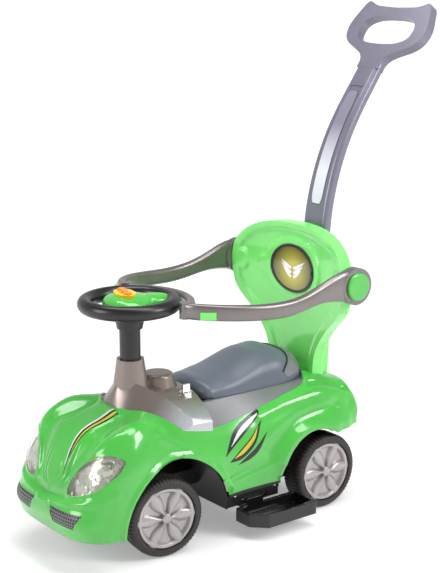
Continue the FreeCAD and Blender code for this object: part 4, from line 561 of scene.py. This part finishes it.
# %% Raised panel
HOOD_AXIS_Y, HOOD_AXIS_Z = -300.0, 120.0
PANEL_HALF, PANEL_TOP, PANEL_ROUND, PANEL_LOW = 36.0, -22.0, 62.0, 86.0
PANEL_RISE, PANEL_EDGE = 3.2, 5.0
PANEL_END, PANEL_REAR, PANEL_CURVE = 90.0, -255.0, 2.4
PANEL_GROOVES, GROOVE_HALF, GROOVE_FROM, GROOVE_FULL = (9.0, 17.0), 2.2, 35.0, 55.0


def panel_half(angle):
    """Half the panel's width at an angle in degrees from straight up, rounded off at the nose."""
    turned = np.clip((angle - PANEL_ROUND) / (PANEL_LOW - PANEL_ROUND), 0, 1)
    return PANEL_HALF * np.sqrt(1 - turned ** PANEL_CURVE)


def hood_panel(points):
    """The panel's rise, with two grooves that follow its rounded end."""
    angle = np.degrees(np.arctan2(HOOD_AXIS_Y - points[:, 1], points[:, 2] - HOOD_AXIS_Z))
    inside = panel_half(angle) - points[:, 0]
    rise = PANEL_RISE * eased(inside, -PANEL_EDGE / 2, PANEL_EDGE / 2)
    for off in PANEL_GROOVES:
        rise -= np.exp(-((inside - off) / GROOVE_HALF) ** 2) * eased(angle, GROOVE_FROM, GROOVE_FULL)
    return rise * (angle > PANEL_TOP) * (angle < PANEL_END) * (points[:, 1] < PANEL_REAR)


print("panel width in mm", 2 * PANEL_HALF)

# %% [markdown]
# ## Pushing the skin
# Now the fine copy is made, its flat facets are evened out, and each point moves along its normal by the
# sum of all the rises. A displace modifier could push a skin too, but it knows nothing of the other
# pieces. Here the rims of openings, which face neither out nor in, move straight away from the car's
# middle. Close to another piece the skin stays where it is, so nothing that is fitted to it comes loose.

# %% How far the skin moves
NEIGHBOURS = ("dash_cowl", "seat_frame", "headlight_lenses", "bumper_grilles", "backrest_shield",
              "backrest_rear_cover", "chassis_pan")


def shell_rise(points):
    """How far the shell stands out or in at each point, in millimetres."""
    near = points.copy()
    near[:, 0] = np.abs(near[:, 0])
    rise = arch_lips(near) + hood_panel(near)
    for height, reach, line in SHELL_LINES.values():
        rise += height * np.exp(-(distance_to_line(near, line) / reach) ** 2)
    return rise


def tree_of(*nodes):
    """One search tree over several solid pieces."""
    points, faces = [], []
    for node in nodes:
        mesh = NODES[node].data
        first = len(points)
        points += [point.co.copy() for point in mesh.vertices]
        faces += [[first + index for index in face.vertices] for face in mesh.polygons]
    return BVHTree.FromPolygons(points, faces)


print("pieces that hold the skin in place", len(NEIGHBOURS))

# %% The shaped shell
RIM_FACING = 0.35
SHELL_CUT, NOSE_FINER, NOSE_REAR, SHELL_ROUNDS = 5.5, 0.5, -250.0, 12
MIDDLE_FRONT, MIDDLE_REAR, MIDDLE_HIGH = -300.0, 120.0, 100.0
STILL_WITHIN, FULL_BEYOND = 1.5, 10.0
shell = fine_copy("body_shell", SHELL_CUT * MM, NOSE_FINER, NOSE_REAR * MM)
relax(shell, free_points(shell), SHELL_ROUNDS)
shell_points = np.array([point.co for point in shell.verts]) / MM
shell_normals = np.array([point.normal for point in shell.verts])
middle = np.column_stack([np.zeros(len(shell_points)), np.clip(shell_points[:, 1], MIDDLE_FRONT, MIDDLE_REAR),
                          np.full(len(shell_points), MIDDLE_HIGH)])
away = shell_points - middle
away /= np.linalg.norm(away, axis=1)[:, None]
facing = np.einsum("ij,ij->i", shell_normals, away)
ways = np.where((np.abs(facing) > RIM_FACING)[:, None], shell_normals * np.sign(facing)[:, None], away)
fixed = tree_of(*NEIGHBOURS)
clear = np.array([fixed.find_nearest(point.co)[3] for point in shell.verts]) / MM
moves = shell_rise(shell_points) * eased(clear, STILL_WITHIN, FULL_BEYOND)
for point, move, way in zip(shell.verts, moves, ways):
    point.co += Vector(way * move * MM)
shell_piece = show("green_shell", mesh_of(shell, "green_shell"), "chassis", "green_body")
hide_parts("body_shell")
SHELL = BVHTree.FromObject(shell_piece, bpy.context.evaluated_depsgraph_get())
print("shell points", len(shell_points), "moved by", round(moves.min(), 1), "to", round(moves.max(), 1), "mm")

# %% [markdown]
# ## The backrest
# The real shield has a raised border along its edge and a raised seat for the badge, with a sunk field
# between them. The field could be cut out with a boolean, which leaves sharp steps. A soft step in the
# points of a fine copy looks more like a moulding, so each point sinks by its distance from the edge and
# from the badge.

# %% Sunk field of the backrest
FIELD_SUNK, BORDER_WIDE, BORDER_SLOPE = 3.5, 13.0, 5.0
BOSS_WIDER, BOSS_EDGE, FIELD_EDGE = 9.0, 0.98, 1.1
SHIELD_CUT, FRONT_FACING = 5.0, -0.5
shield = fine_copy("backrest_shield", SHIELD_CUT * MM)
shield_free = free_points(shield)
edge_points = KDTree(int((~shield_free).sum()))
for point, free in zip(shield.verts, shield_free):
    if not free:
        edge_points.insert(point.co, point.index)
edge_points.balance()
badge_low, badge_high = (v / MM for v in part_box("backrest_badge"))
badge_middle, badge_half = (badge_low + badge_high) / 2, (badge_high - badge_low) / 2
for point, free in zip(shield.verts, shield_free):
    if not free or point.normal.y > FRONT_FACING:
        continue
    inner = edge_points.find(point.co)[2] / MM
    place = point.co / MM
    oval = math.hypot((place.x - badge_middle.x) / (badge_half.x + BOSS_WIDER),
                      (place.z - badge_middle.z) / (badge_half.z + BOSS_WIDER))
    sunk = FIELD_SUNK * eased(np.array(inner), BORDER_WIDE, BORDER_WIDE + BORDER_SLOPE)
    sunk *= eased(np.array(oval), BOSS_EDGE, FIELD_EDGE)
    point.co -= point.normal * float(sunk) * MM
shield_piece = show("backrest_skin", mesh_of(shield, "backrest_skin"), "chassis", "light_green")
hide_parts("backrest_shield")
print("backrest points", len(shield_piece.data.vertices))

# %% [markdown]
# ## Wheels
# The tyres are hard plastic with a moulded tread: close cross ribs that run over the shoulders. An array
# of blocks round a ring would need a join at every block. So a turned profile makes the ring in one skin,
# and every few steps round it the outer points sink a little to leave a groove between two ribs.

# %% Where a wheel sits
WHEELS = ("front_left", "front_right", "rear_left", "rear_right")


def wheel_place(wheel):
    """The wheel's own axes: x out along the axle, from the wheel's middle."""
    low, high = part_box(wheel + "_tyre")
    joint = next(j for j in frame["joints"] if j["name"] == wheel + "_wheel_spin")
    out = Vector(joint["axis"]).normalized() * (1 if "left" in wheel else -1)
    up = Vector((0, 0, 1))
    side = up.cross(out)
    turn = Matrix((out, side, up)).transposed().to_4x4()
    return Matrix.Translation((low + high) / 2) @ turn


print("wheels", len(WHEELS))

# %% Turned skins
SHEET_WELD = 0.00002


def lathe(rings):
    """A closed skin from rings of points, each ring joined to the next and the last to the first."""
    points = [point for ring in rings for point in ring]
    size, count = len(rings[0]), len(rings)
    faces = []
    for i in range(count):
        for j in range(size - 1):
            a, b = i * size + j, ((i + 1) % count) * size + j
            faces.append((a, b, b + 1, a + 1))
    return points, faces


def closed_mesh(name, points, faces, weld=SHEET_WELD):
    """A mesh from points and faces, welded, with its faces turned outward."""
    mesh = bpy.data.meshes.new(name)
    mesh.from_pydata(points, [], faces)
    skin = bmesh.new()
    skin.from_mesh(mesh)
    bmesh.ops.remove_doubles(skin, verts=skin.verts, dist=weld)
    bmesh.ops.recalc_face_normals(skin, faces=skin.faces)
    skin.to_mesh(mesh)
    skin.free()
    return mesh


def wheel_point(place, along, radius, angle):
    """A point by its place along the axle, its radius and its angle round the wheel, in mm and radians."""
    return place @ Vector((along * MM, radius * math.cos(angle) * MM, radius * math.sin(angle) * MM))


print("makers for turned skins are ready")

# %% Tyres
TREAD_RIBS, STEPS_PER_RIB = 60, 4
GROOVE = 1.5
# Along the axle from the wheel's middle, radius, and the share of the groove's depth, in mm
TYRE_PROFILE = [
    (8.5, 4.3, 0), (8.5, 52.7, 0), (20.5, 52.9, 0), (21.6, 53.6, 0), (22.0, 55.0, 0), (22.0, 58.4, 0),
    (21.4, 61.2, 0.3), (20.0, 63.8, 1), (17.6, 66.0, 1), (14.2, 67.3, 1), (9.0, 67.5, 1), (5.0, 67.5, 1),
    (4.0, 66.6, 0), (1.0, 66.6, 0), (0.0, 67.5, 0.6), (-1.0, 66.6, 0), (-4.0, 66.6, 0), (-5.0, 67.5, 1),
    (-9.0, 67.5, 1), (-14.2, 67.3, 1), (-17.6, 66.0, 1), (-20.0, 63.8, 1), (-21.4, 61.2, 0.3),
    (-22.0, 58.4, 0), (-22.0, 51.0, 0), (-21.0, 49.5, 0), (-8.0, 47.5, 0), (-8.0, 14.0, 0),
    (-21.5, 13.0, 0), (-21.5, 4.3, 0)
]


def tyre_mesh(name, place):
    rings = []
    steps = TREAD_RIBS * STEPS_PER_RIB
    for step in range(steps):
        angle = 2 * math.pi * step / steps
        sunk = GROOVE if step % STEPS_PER_RIB == 0 else 0.0
        ring = [wheel_point(place, along, radius - sunk * share, angle)
                for along, radius, share in TYRE_PROFILE]
        rings.append(ring + ring[:1])
    return closed_mesh(name, *lathe(rings), WELD)


for wheel in WHEELS:
    name = wheel + "_tread"
    tyre = show(name, tyre_mesh(name, wheel_place(wheel)), wheel + "_wheel", "dark_tyre")
    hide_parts(wheel + "_tyre")
print("tyres with", TREAD_RIBS, "ribs each")

# %% [markdown]
# ## Hubcaps
# Each cap is a shallow dish with six convex petals, a plain rim and a small round cap in the middle. Six
# petals could be modelled and set round the dish, but the seams between them would show. A height drawn
# over radius and angle gives all of it in one skin, so the petals swell softly as a moulding does.

# %% Petalled caps
PETALS = 6
CAP_RADIUS, CAP_RIM, CAP_HUB = 52.5, 45.5, 9.0
CAP_FLOOR, CAP_BACK = 13.4, 10.5
PETAL_HALF, PETAL_SWELL, PETAL_HIGH, PETAL_FALL = 0.5, 0.2, 7.6, 0.2
PETAL_NARROWS, PETAL_NARROWS_FROM, PETAL_WIDEST = 0.3, 0.55, 1.05
RIM_HIGH, RIM_SLOPE, RIM_LEVEL, RIM_DROP, RIM_ROUND = 6.4, 3.5, 1.0, 3.0, 2.2
HUB_HIGH, HUB_SLOPE, HUB_DOME = 9.4, 1.5, 0.02
CAP_ROUND_STEPS, CAP_WELD = 192, 0.00005
CAP_RADII = [0.01, 3, 6, 8, 9, 10, 12, 14, 17, 20, 23, 26, 29, 32, 35, 38, 40, 42, 43.5, 44.5, 45.5,
             46.5, 47.5, 49, 50.5, 51.5, 52.2, 52.5]


def cap_height(radius, angle):
    """Height of the cap's face above its recesses, in mm."""
    sector = 2 * math.pi / PETALS
    off = abs((angle + sector / 2) % sector - sector / 2) / (sector / 2)
    share = min(1.0, max(0.0, (radius - CAP_HUB) / (CAP_RIM - CAP_HUB)))
    half = PETAL_HALF + PETAL_SWELL * math.sin(math.pi * min(1.0, share * PETAL_WIDEST))
    half -= PETAL_NARROWS * max(0.0, share - PETAL_NARROWS_FROM)
    petal = PETAL_HIGH * math.sqrt(max(0.0, 1 - (off / half) ** 2)) * (1 - PETAL_FALL * share)
    rim = RIM_HIGH * eased(radius, CAP_RIM - RIM_SLOPE, CAP_RIM + RIM_LEVEL)
    rim -= RIM_DROP * eased(radius, CAP_RADIUS - RIM_ROUND, CAP_RADIUS)
    hub = HUB_HIGH * (1 - eased(radius, CAP_HUB - HUB_SLOPE, CAP_HUB + HUB_SLOPE))
    hub -= HUB_DOME * min(radius, CAP_HUB) ** 2
    return max(petal, rim, hub)


def cap_mesh(name, place):
    rings = []
    for step in range(CAP_ROUND_STEPS):
        angle = 2 * math.pi * step / CAP_ROUND_STEPS
        ring = [(CAP_FLOOR + cap_height(radius, angle), radius) for radius in CAP_RADII]
        ring += [(CAP_BACK, CAP_RADIUS), (CAP_BACK, CAP_RADII[0])]
        rings.append([wheel_point(place, along, radius, angle) for along, radius in ring])
    return closed_mesh(name, *lathe(rings), CAP_WELD)


for wheel in WHEELS:
    name = wheel + "_petal_cap"
    cap = show(name, cap_mesh(name, wheel_place(wheel)), wheel + "_wheel", "silver_hubcap")
    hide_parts(wheel + "_hubcap")
print("hubcaps with", PETALS, "petals each")

# %% [markdown]
# ## Thin things that lie on a surface
# Stickers, seams and grille bars follow the surface below them. A shrinkwrap modifier can press a flat
# sheet onto a surface, but on a steep one the sheet stretches. Here a ray finds the surface at each spot,
# and a thin closed sheet is laid over the spots that were struck.

# %% Rays and sheets
SHEET_SINK = 0.3


def struck(surface, start, way):
    """Where a ray from start, in mm, first meets a surface, with the normal there turned back to it."""
    place, normal, _, _ = surface.ray_cast(Vector(start) * MM, Vector(way).normalized())
    if place is None:
        return None
    return place, normal if normal.dot(Vector(way)) < 0 else -normal


def sheet(rows, lift, sink=SHEET_SINK):
    """Points and faces of a thin closed sheet over rows of struck spots."""
    high, wide = len(rows), len(rows[0])
    points = [place + normal * level * MM for level in (lift, -sink) for row in rows for place, normal in row]

    def at(side, i, j):
        return (side * high + i) * wide + j

    faces = []
    for i in range(high - 1):
        for j in range(wide - 1):
            faces.append((at(0, i, j), at(0, i, j + 1), at(0, i + 1, j + 1), at(0, i + 1, j)))
            faces.append((at(1, i, j), at(1, i + 1, j), at(1, i + 1, j + 1), at(1, i, j + 1)))
    rim = [(0, j) for j in range(wide)] + [(i, wide - 1) for i in range(1, high)]
    rim += [(high - 1, j) for j in range(wide - 2, -1, -1)] + [(i, 0) for i in range(high - 2, 0, -1)]
    for first, second in zip(rim, rim[1:] + rim[:1]):
        faces.append((at(0, *first), at(1, *first), at(1, *second), at(0, *second)))
    return points, faces


def joined(sheets):
    """Several sheets as one list of points and one of faces."""
    points, faces = [], []
    for more_points, more_faces in sheets:
        faces += [[len(points) + index for index in face] for face in more_faces]
        points += more_points
    return points, faces


print("makers for laid sheets are ready")

# %% Tapered blades
THINNEST = 0.15


def bent(line, steps):
    """Evenly stepped values along a smooth curve through the rows of line."""
    line = np.array(line, float)
    ends = np.vstack([2 * line[0] - line[1], line, 2 * line[-1] - line[-2]])
    out = []
    for t in np.linspace(0, len(line) - 1, steps):
        i = min(int(t), len(line) - 2)
        f = t - i
        a, b, c, d = ends[i:i + 4]
        out.append(0.5 * (2 * b + (c - a) * f + (2 * a - 5 * b + 4 * c - d) * f ** 2
                          + (3 * b - a - 3 * c + d) * f ** 3))
    return np.array(out)


def blade(spot, spine, lift, steps=36, across=7):
    """A tapered stripe. Each row of spine is two flat coordinates and the stripe's half width there."""
    path = bent(spine, steps)
    way = np.gradient(path[:, :2], axis=0)
    way /= np.linalg.norm(way, axis=1)[:, None]
    rows = []
    for (u, v, half), (du, dv) in zip(path, way):
        half = max(half, THINNEST)
        row = [spot(u - dv * s * half, v + du * s * half) for s in np.linspace(-1, 1, across)]
        if all(row):
            rows.append(row)
    return sheet(rows, lift)


BLACK_INK = moulded("black print", (0.012, 0.012, 0.012), 0.25)
WHITE_INK = moulded("white print", (0.8, 0.81, 0.78), 0.25)
YELLOW_INK = moulded("yellow print", (0.62, 0.55, 0.03), 0.25)
print("inks and the maker of blades are ready")

# %% [markdown]
# ## Stickers on the hood and the sides
# The hood has tapered stripes left of its middle, and each side has a fan of three curved black blades
# with a white and a yellow one on top. They could be painted in a picture, which blurs up close. As thin
# sheets they stay crisp, and each is moved by its own few points. A spine gives two flat coordinates and
# a half width for each of its points, in millimetres.

# %% Hood stripes
NOSE_REACH, STRIPE_LIFT, MM_PER_DEGREE = 300.0, 0.35, 2


def hood_spot(x, along):
    """A spot on the hood by its x and its distance along the hood, counted in degrees round the nose."""
    angle = math.radians(along / MM_PER_DEGREE)
    way = Vector((0, -math.sin(angle), math.cos(angle)))
    start = Vector((x, HOOD_AXIS_Y, HOOD_AXIS_Z)) + way * NOSE_REACH
    return struck(SHELL, start, -way)


HOOD_STRIPES = [
    ("hood_stripe_white", WHITE_INK, [(17, -35, 2.6), (20, 20, 2.2), (24, 75, 1.4), (27, 112, 0.3)]),
    ("hood_stripe_black", BLACK_INK, [(22, -35, 2.0), (24, 20, 2.1), (27, 80, 1.6), (28, 134, 0.2)]),
    ("hood_stripe_yellow", YELLOW_INK, [(28, -32, 3.0), (29, 10, 2.2), (30, 50, 1.2), (30, 84, 0.2)]),
    ("hood_stripe_edge", BLACK_INK, [(33, -34, 1.3), (33, 10, 1.2), (32, 55, 0.9), (31, 92, 0.2)]),
]
for name, ink, spine in HOOD_STRIPES:
    show(name, closed_mesh(name, *blade(hood_spot, spine, STRIPE_LIFT)), "chassis", "green_body", ink)
print("stripes on the hood", len(HOOD_STRIPES))

# %% Side blades
SIDE_REACH = 400.0
SIDE_BLADES = [
    ("black", BLACK_INK, 0.3, [[(-104, 144, 0.5), (-74, 172, 9.0), (-40, 190, 7.0), (-10, 206, 0.2)],
                               [(-96, 132, 0.4), (-72, 139, 7.0), (-44, 156, 7.0), (-18, 188, 0.2)],
                               [(-78, 124, 0.3), (-54, 132, 4.0), (-34, 143, 4.0), (-12, 166, 0.2)]]),
    ("white", WHITE_INK, 0.6, [[(-90, 157, 0.2), (-66, 176, 3.8), (-38, 190, 2.8), (-22, 198, 0.2)]]),
    ("yellow", YELLOW_INK, 0.6, [[(-86, 136, 0.3), (-64, 145, 3.4), (-42, 160, 3.0), (-28, 178, 0.2)]]),
]
for side, sign in (("left", 1), ("right", -1)):
    def side_spot(y, z, sign=sign):
        return struck(SHELL, (sign * SIDE_REACH, y, z), (-sign, 0, 0))

    for colour, ink, lift, spines in SIDE_BLADES:
        name = side + "_side_" + colour + "_blades"
        blades = joined([blade(side_spot, spine, lift) for spine in spines])
        show(name, closed_mesh(name, *blades), "chassis", "green_body", ink)
print("colours of blades on each side", len(SIDE_BLADES))

# %% [markdown]
# ## Lamps
# Behind each clear lens the real reflector is pressed into small bright facets. A bump pattern would
# shade them without giving each its own flat glint. So seeds spread over a fine copy of the bowl share it
# out, each seed's share tilts its own way, and flat shading lets every facet catch its own light.

# %% Faceted reflectors
FACET, FACET_DEEP, FACET_TILT, FACET_COUNT = 3.0, 1.4, 0.2, 64
rng = np.random.default_rng(7)
bowl = fine_copy("headlight_reflectors", FACET * MM)
bowl_free = free_points(bowl)
bowl_points = np.array([point.co for point in bowl.verts]) / MM
seeds = bowl_points[rng.choice(len(bowl_points), FACET_COUNT, replace=False)]
tilts = rng.normal(0, FACET_TILT, (FACET_COUNT, 3))
for point, place, free in zip(bowl.verts, bowl_points, bowl_free):
    if free:
        off = place - seeds
        cell = int(np.argmin(np.linalg.norm(off, axis=1)))
        deep = FACET_DEEP + float(np.clip(off[cell] @ tilts[cell], -FACET_DEEP, FACET_DEEP))
        point.co -= point.normal * deep * MM
bowl_piece = show("lamp_facets", mesh_of(bowl, "lamp_facets"), "chassis", "bright_reflector", smooth=False)
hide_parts("headlight_reflectors")
print("facets in the lamps", len(bowl_piece.data.polygons))

# %% [markdown]
# ## Grilles
# The grilles in the bumper are a lattice of fine bars on a dark ground. A grid with a wireframe modifier
# could give bars, but their ends would not stop at the slanted edges of the grilles. So lines are drawn
# across the box round both grilles, and a bar is laid wherever a line runs over one of them.

# %% Grille bars
BAR_PITCH, BAR_HALF, BAR_HIGH, FEWEST_SPOTS = 5.0, 0.7, 0.9, 3
BAR_STEP_X, BAR_STEP_Z, BAR_FIRST_X, BAR_FIRST_Z = 1.5, 1.0, 2.0, 3.0
RAY_ROOM = 150.0
# A spot off the grilles, which closes the last run of a line
PAST_THE_END = (999, 0, 0, 0)
GRILLES = tree_of("bumper_grilles")
grille_low, grille_high = (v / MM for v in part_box("bumper_grilles"))


def grille_spot(x, z):
    return struck(GRILLES, (x, grille_low.y - RAY_ROOM, z), (0, 1, 0))


def bars(lines):
    """Bars along runs of spots that lie on a grille."""
    made = []
    for line in lines:
        run = []
        for x, z, dx, dz in line + [PAST_THE_END]:
            pair = [grille_spot(x + dx * s, z + dz * s) for s in (-BAR_HALF, BAR_HALF)]
            if all(pair):
                run.append(pair)
                continue
            if len(run) >= FEWEST_SPOTS:
                made.append(sheet(run, BAR_HIGH))
            run = []
    return made


fine_x = np.arange(grille_low.x, grille_high.x, BAR_STEP_X)
fine_z = np.arange(grille_low.z, grille_high.z, BAR_STEP_Z)
bar_x = np.arange(grille_low.x + BAR_FIRST_X, grille_high.x, BAR_PITCH)
bar_z = np.arange(grille_low.z + BAR_FIRST_Z, grille_high.z, BAR_PITCH)
level = [[(x, z, 0, 1) for x in fine_x] for z in bar_z]
upright = [[(x, z, 1, 0) for z in fine_z] for x in bar_x]
grille_bars = bars(level) + bars(upright)
GRILLE_GREY = moulded("grey grille bars", (0.2, 0.2, 0.2), 0.3)
lattice = closed_mesh("grille_lattice", *joined(grille_bars))
show("grille_lattice", lattice, "chassis", "dark_mesh", GRILLE_GREY)
print("grille bars", len(grille_bars))

# %% [markdown]
# ## Badge
# The oval badge on the backrest has a dark rim and a plain pair of silver wings, each of three feathers.
# They could be filled curves, turned to lean as the badge does. The makers for stripes already follow
# whatever face lies below, so the rim and the feathers are laid sheets too.

# %% Badge
BADGE = tree_of("backrest_badge")
RIM_OUT, RIM_IN_X, RIM_IN_Z, RIM_LIFT = 0.6, 6.0, 5.0, 0.8
# How far each feather is moved up from the badge's middle, and how long it is, in mm
FEATHERS = ((10, 34), (2, 30), (-6, 24))
FEATHER_ROOT, FEATHER_LOW, FEATHER_BEND, FEATHER_TIP, FEATHER_LIFT = 3, -10, -4, 6, 0.7
FEATHER_HALVES, FEATHER_STEPS, FEATHER_ACROSS = (2.4, 2.8, 0.3), 20, 4


def badge_spot(x, z):
    return struck(BADGE, (x, badge_low.y - RAY_ROOM, z), (0, 1, 0))


def ring_sheet(spot, centre, outer, inner, lift, steps=72):
    """An oval ring on a surface between two pairs of half widths."""
    rows = []
    for angle in np.linspace(0, 2 * math.pi, steps + 1):
        rows.append([spot(centre[0] + wide * math.cos(angle), centre[1] + high * math.sin(angle))
                     for wide, high in (outer, inner)])
    return sheet(rows, lift)


badge_centre = (badge_middle.x, badge_middle.z)
rim_outer = (badge_half.x - RIM_OUT, badge_half.z - RIM_OUT)
rim_inner = (badge_half.x - RIM_IN_X, badge_half.z - RIM_IN_Z)
rim = ring_sheet(badge_spot, badge_centre, rim_outer, rim_inner, RIM_LIFT)
show("badge_rim", closed_mesh("badge_rim", *rim), "chassis", "black_plastic")
wings = []
for sign in (1, -1):
    for rise, long in FEATHERS:
        outs = (FEATHER_ROOT, long / 2, long)
        ups = (FEATHER_LOW, FEATHER_BEND, FEATHER_TIP)
        spine = [(sign * out, badge_middle.z + rise + up, half)
                 for out, up, half in zip(outs, ups, FEATHER_HALVES)]
        wings.append(blade(badge_spot, spine, FEATHER_LIFT, FEATHER_STEPS, FEATHER_ACROSS))
show("badge_wings", closed_mesh("badge_wings", *joined(wings)), "chassis", "chrome_trim")
print("badge with", len(wings), "feathers")

# %% [markdown]
# ## Handle panel
# The handle's front carries a smooth inlaid panel with a thin dark line round it. The handle bends, so a
# flat sheet would need a curve to follow. Rows of spots struck on the handle itself already have the
# bend, and the line is the same kind of sheet, a little wider and lower than the panel.

# %% Handle panel
HANDLE = tree_of("push_handle", "handle_label")
label_low, label_high = (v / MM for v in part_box("handle_label"))
LABEL_FOOT, LABEL_TOP = 524.0, 722.0
LINE_INSET, LINE_LIFT, LABEL_INSET, LABEL_LIFT = 0.2, 0.35, 1.2, 0.7
LABEL_ROWS, LABEL_ACROSS, LABEL_NARROWS, LABEL_CORNER = 61, 9, 0.35, 14


def handle_spot(x, z):
    return struck(HANDLE, (x, label_low.y - RAY_ROOM, z), (0, 1, 0))


def panel_rows(inset):
    """Rows of spots up the handle, a little narrower at both ends."""
    rows = []
    middle_z, half_z = (LABEL_TOP + LABEL_FOOT) / 2, (LABEL_TOP - LABEL_FOOT) / 2 - inset
    half_x = label_high.x - inset
    across = np.linspace(-1, 1, LABEL_ACROSS)
    for s in np.linspace(-1, 1, LABEL_ROWS):
        narrow = half_x * (1 - LABEL_NARROWS * abs(s) ** LABEL_CORNER)
        rows.append([handle_spot(narrow * t, middle_z + half_z * s) for t in across])
    return rows


line_mesh = closed_mesh("handle_panel_line", *sheet(panel_rows(LINE_INSET), LINE_LIFT))
show("handle_panel_line", line_mesh, "chassis", "pale_label", FINISHES["black_plastic"])
panel_mesh = closed_mesh("handle_panel", *sheet(panel_rows(LABEL_INSET), LABEL_LIFT))
panel_piece = show("handle_panel", panel_mesh, "chassis", "pale_label")
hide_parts("handle_label")
print("handle panel laid")

# %% [markdown]
# ## Painted shade in the wheel arches
# Inside its arches the real car is dark, and no light shows through under it, as if black liners closed
# them. That dark is shade, and it is painted here. The painted shade could be a part of the shell, but the
# shell is green all through. So each arch gets a black arc just inside its rim, laid as a thin sheet
# across the body.

# %% Black sheets of painted shade in the arches
SHADE_SHEET_INSIDE, SHADE_SHEET_THICK, SHADE_SHEET_OUT = 1.0, 2.5, 113.0
SHADE_SHEET_TURNS = {"front": (-4, 62), "rear": (55, 176)}
SHADE_SHEET_ROWS, SHADE_SHEET_ACROSS = 40, 9


def shade_sheet_rows(centre, radii, turns):
    """Rows of places along the arc, each across the whole body."""
    rows = []
    for turn in np.radians(np.linspace(*turns, SHADE_SHEET_ROWS)):
        out = Vector((0, math.cos(turn), math.sin(turn)))
        y = centre[0] + (radii[0] - SHADE_SHEET_INSIDE) * math.cos(turn)
        z = centre[1] + (radii[1] - SHADE_SHEET_INSIDE) * math.sin(turn)
        rows.append([(Vector((x, y, z)) * MM, out) for x in np.linspace(-SHADE_SHEET_OUT, SHADE_SHEET_OUT, SHADE_SHEET_ACROSS)])
    return rows


for (end, turns), (centre, radii) in zip(SHADE_SHEET_TURNS.items(), ARCHES):
    name = end + "_arch_painted_shade"
    # A black sheet of painted shade just inside the arch's rim.
    arch_shade = sheet(shade_sheet_rows(centre, radii, turns), 0, SHADE_SHEET_THICK)
    show(name, closed_mesh(name, *arch_shade), "chassis", "black_plastic")
print("arch sheets of painted shade", len(SHADE_SHEET_TURNS))

# %% [markdown]
# ## Seat
# The seat lid is a soft-looking pad in front and a plain grey band at the back. A raised piping runs
# between the two. The lid could be cut in two along that line, but it tips up as one piece. So the band
# and the piping are thin sheets laid on the lid, and they ride with it.

# %% Seat piping and band
LID = tree_of("seat_lid")
SEAM_REAR, SEAM_FRONT, SEAM_HALF = 86.0, 60.0, 64.0
SEAM_CLEAR, BAND_LONGEST, BAND_STEPS, BAND_LIFT = 1.4, 60.0, 10, 0.4
PIPING_HALF, PIPING_STEPS, PIPING_LIFT = 1.6, 4, 1.0
SEAM_CURVE, SEAM_STEPS, ABOVE_LID, EDGE_ROOM = 6, 61, 400.0, 2.0


def seam_y(x):
    return SEAM_REAR - (SEAM_REAR - SEAM_FRONT) * (abs(x) / SEAM_HALF) ** SEAM_CURVE


def lid_spot(x, y):
    return struck(LID, (x, y, ABOVE_LID), (0, 0, -1))


def lid_rows(front, reach, steps):
    """Rows of spots across the lid, from a distance behind the seam to a reach that is given for each x."""
    rows = []
    for x in np.linspace(-SEAM_HALF, SEAM_HALF, SEAM_STEPS):
        row = [lid_spot(x, seam_y(x) + off) for off in np.linspace(front, reach(x), steps)]
        if all(row):
            rows.append(row)
    return rows


def band_reach(x):
    """How far the lid goes on behind the seam."""
    reach = SEAM_CLEAR
    while lid_spot(x, seam_y(x) + reach + EDGE_ROOM) and reach < BAND_LONGEST:
        reach += 1
    return reach


piping = sheet(lid_rows(-PIPING_HALF, lambda x: PIPING_HALF, PIPING_STEPS), PIPING_LIFT)
show("seat_piping", closed_mesh("seat_piping", *piping), "seat_lid", "black_plastic")
band = sheet(lid_rows(SEAM_CLEAR, band_reach, BAND_STEPS), BAND_LIFT)
show("seat_band", closed_mesh("seat_band", *band), "seat_lid", "grey_frame")
print("seat piping and band laid")

# %% [markdown]
# ## Footrests
# The real footrests are glossy trays with rounded edges. A bevel would round the edges too, but it can
# fold over where short edges meet. Evening out all the points of a fine copy, the ones on edges too,
# rounds everything a little.

# %% Rounded footrests
FOOT_CUT, FOOT_ROUNDS = 3.0, 3
for side in ("left", "right"):
    tray = fine_copy(side + "_footrest", FOOT_CUT * MM)
    relax(tray, np.ones(len(tray.verts), bool), FOOT_ROUNDS)
    name = side + "_footrest_skin"
    tray_piece = show(name, mesh_of(tray, name), side + "_footrest", "black_plastic", BLACK_GLOSS)
    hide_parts(side + "_footrest")
print("footrest edges rounded")
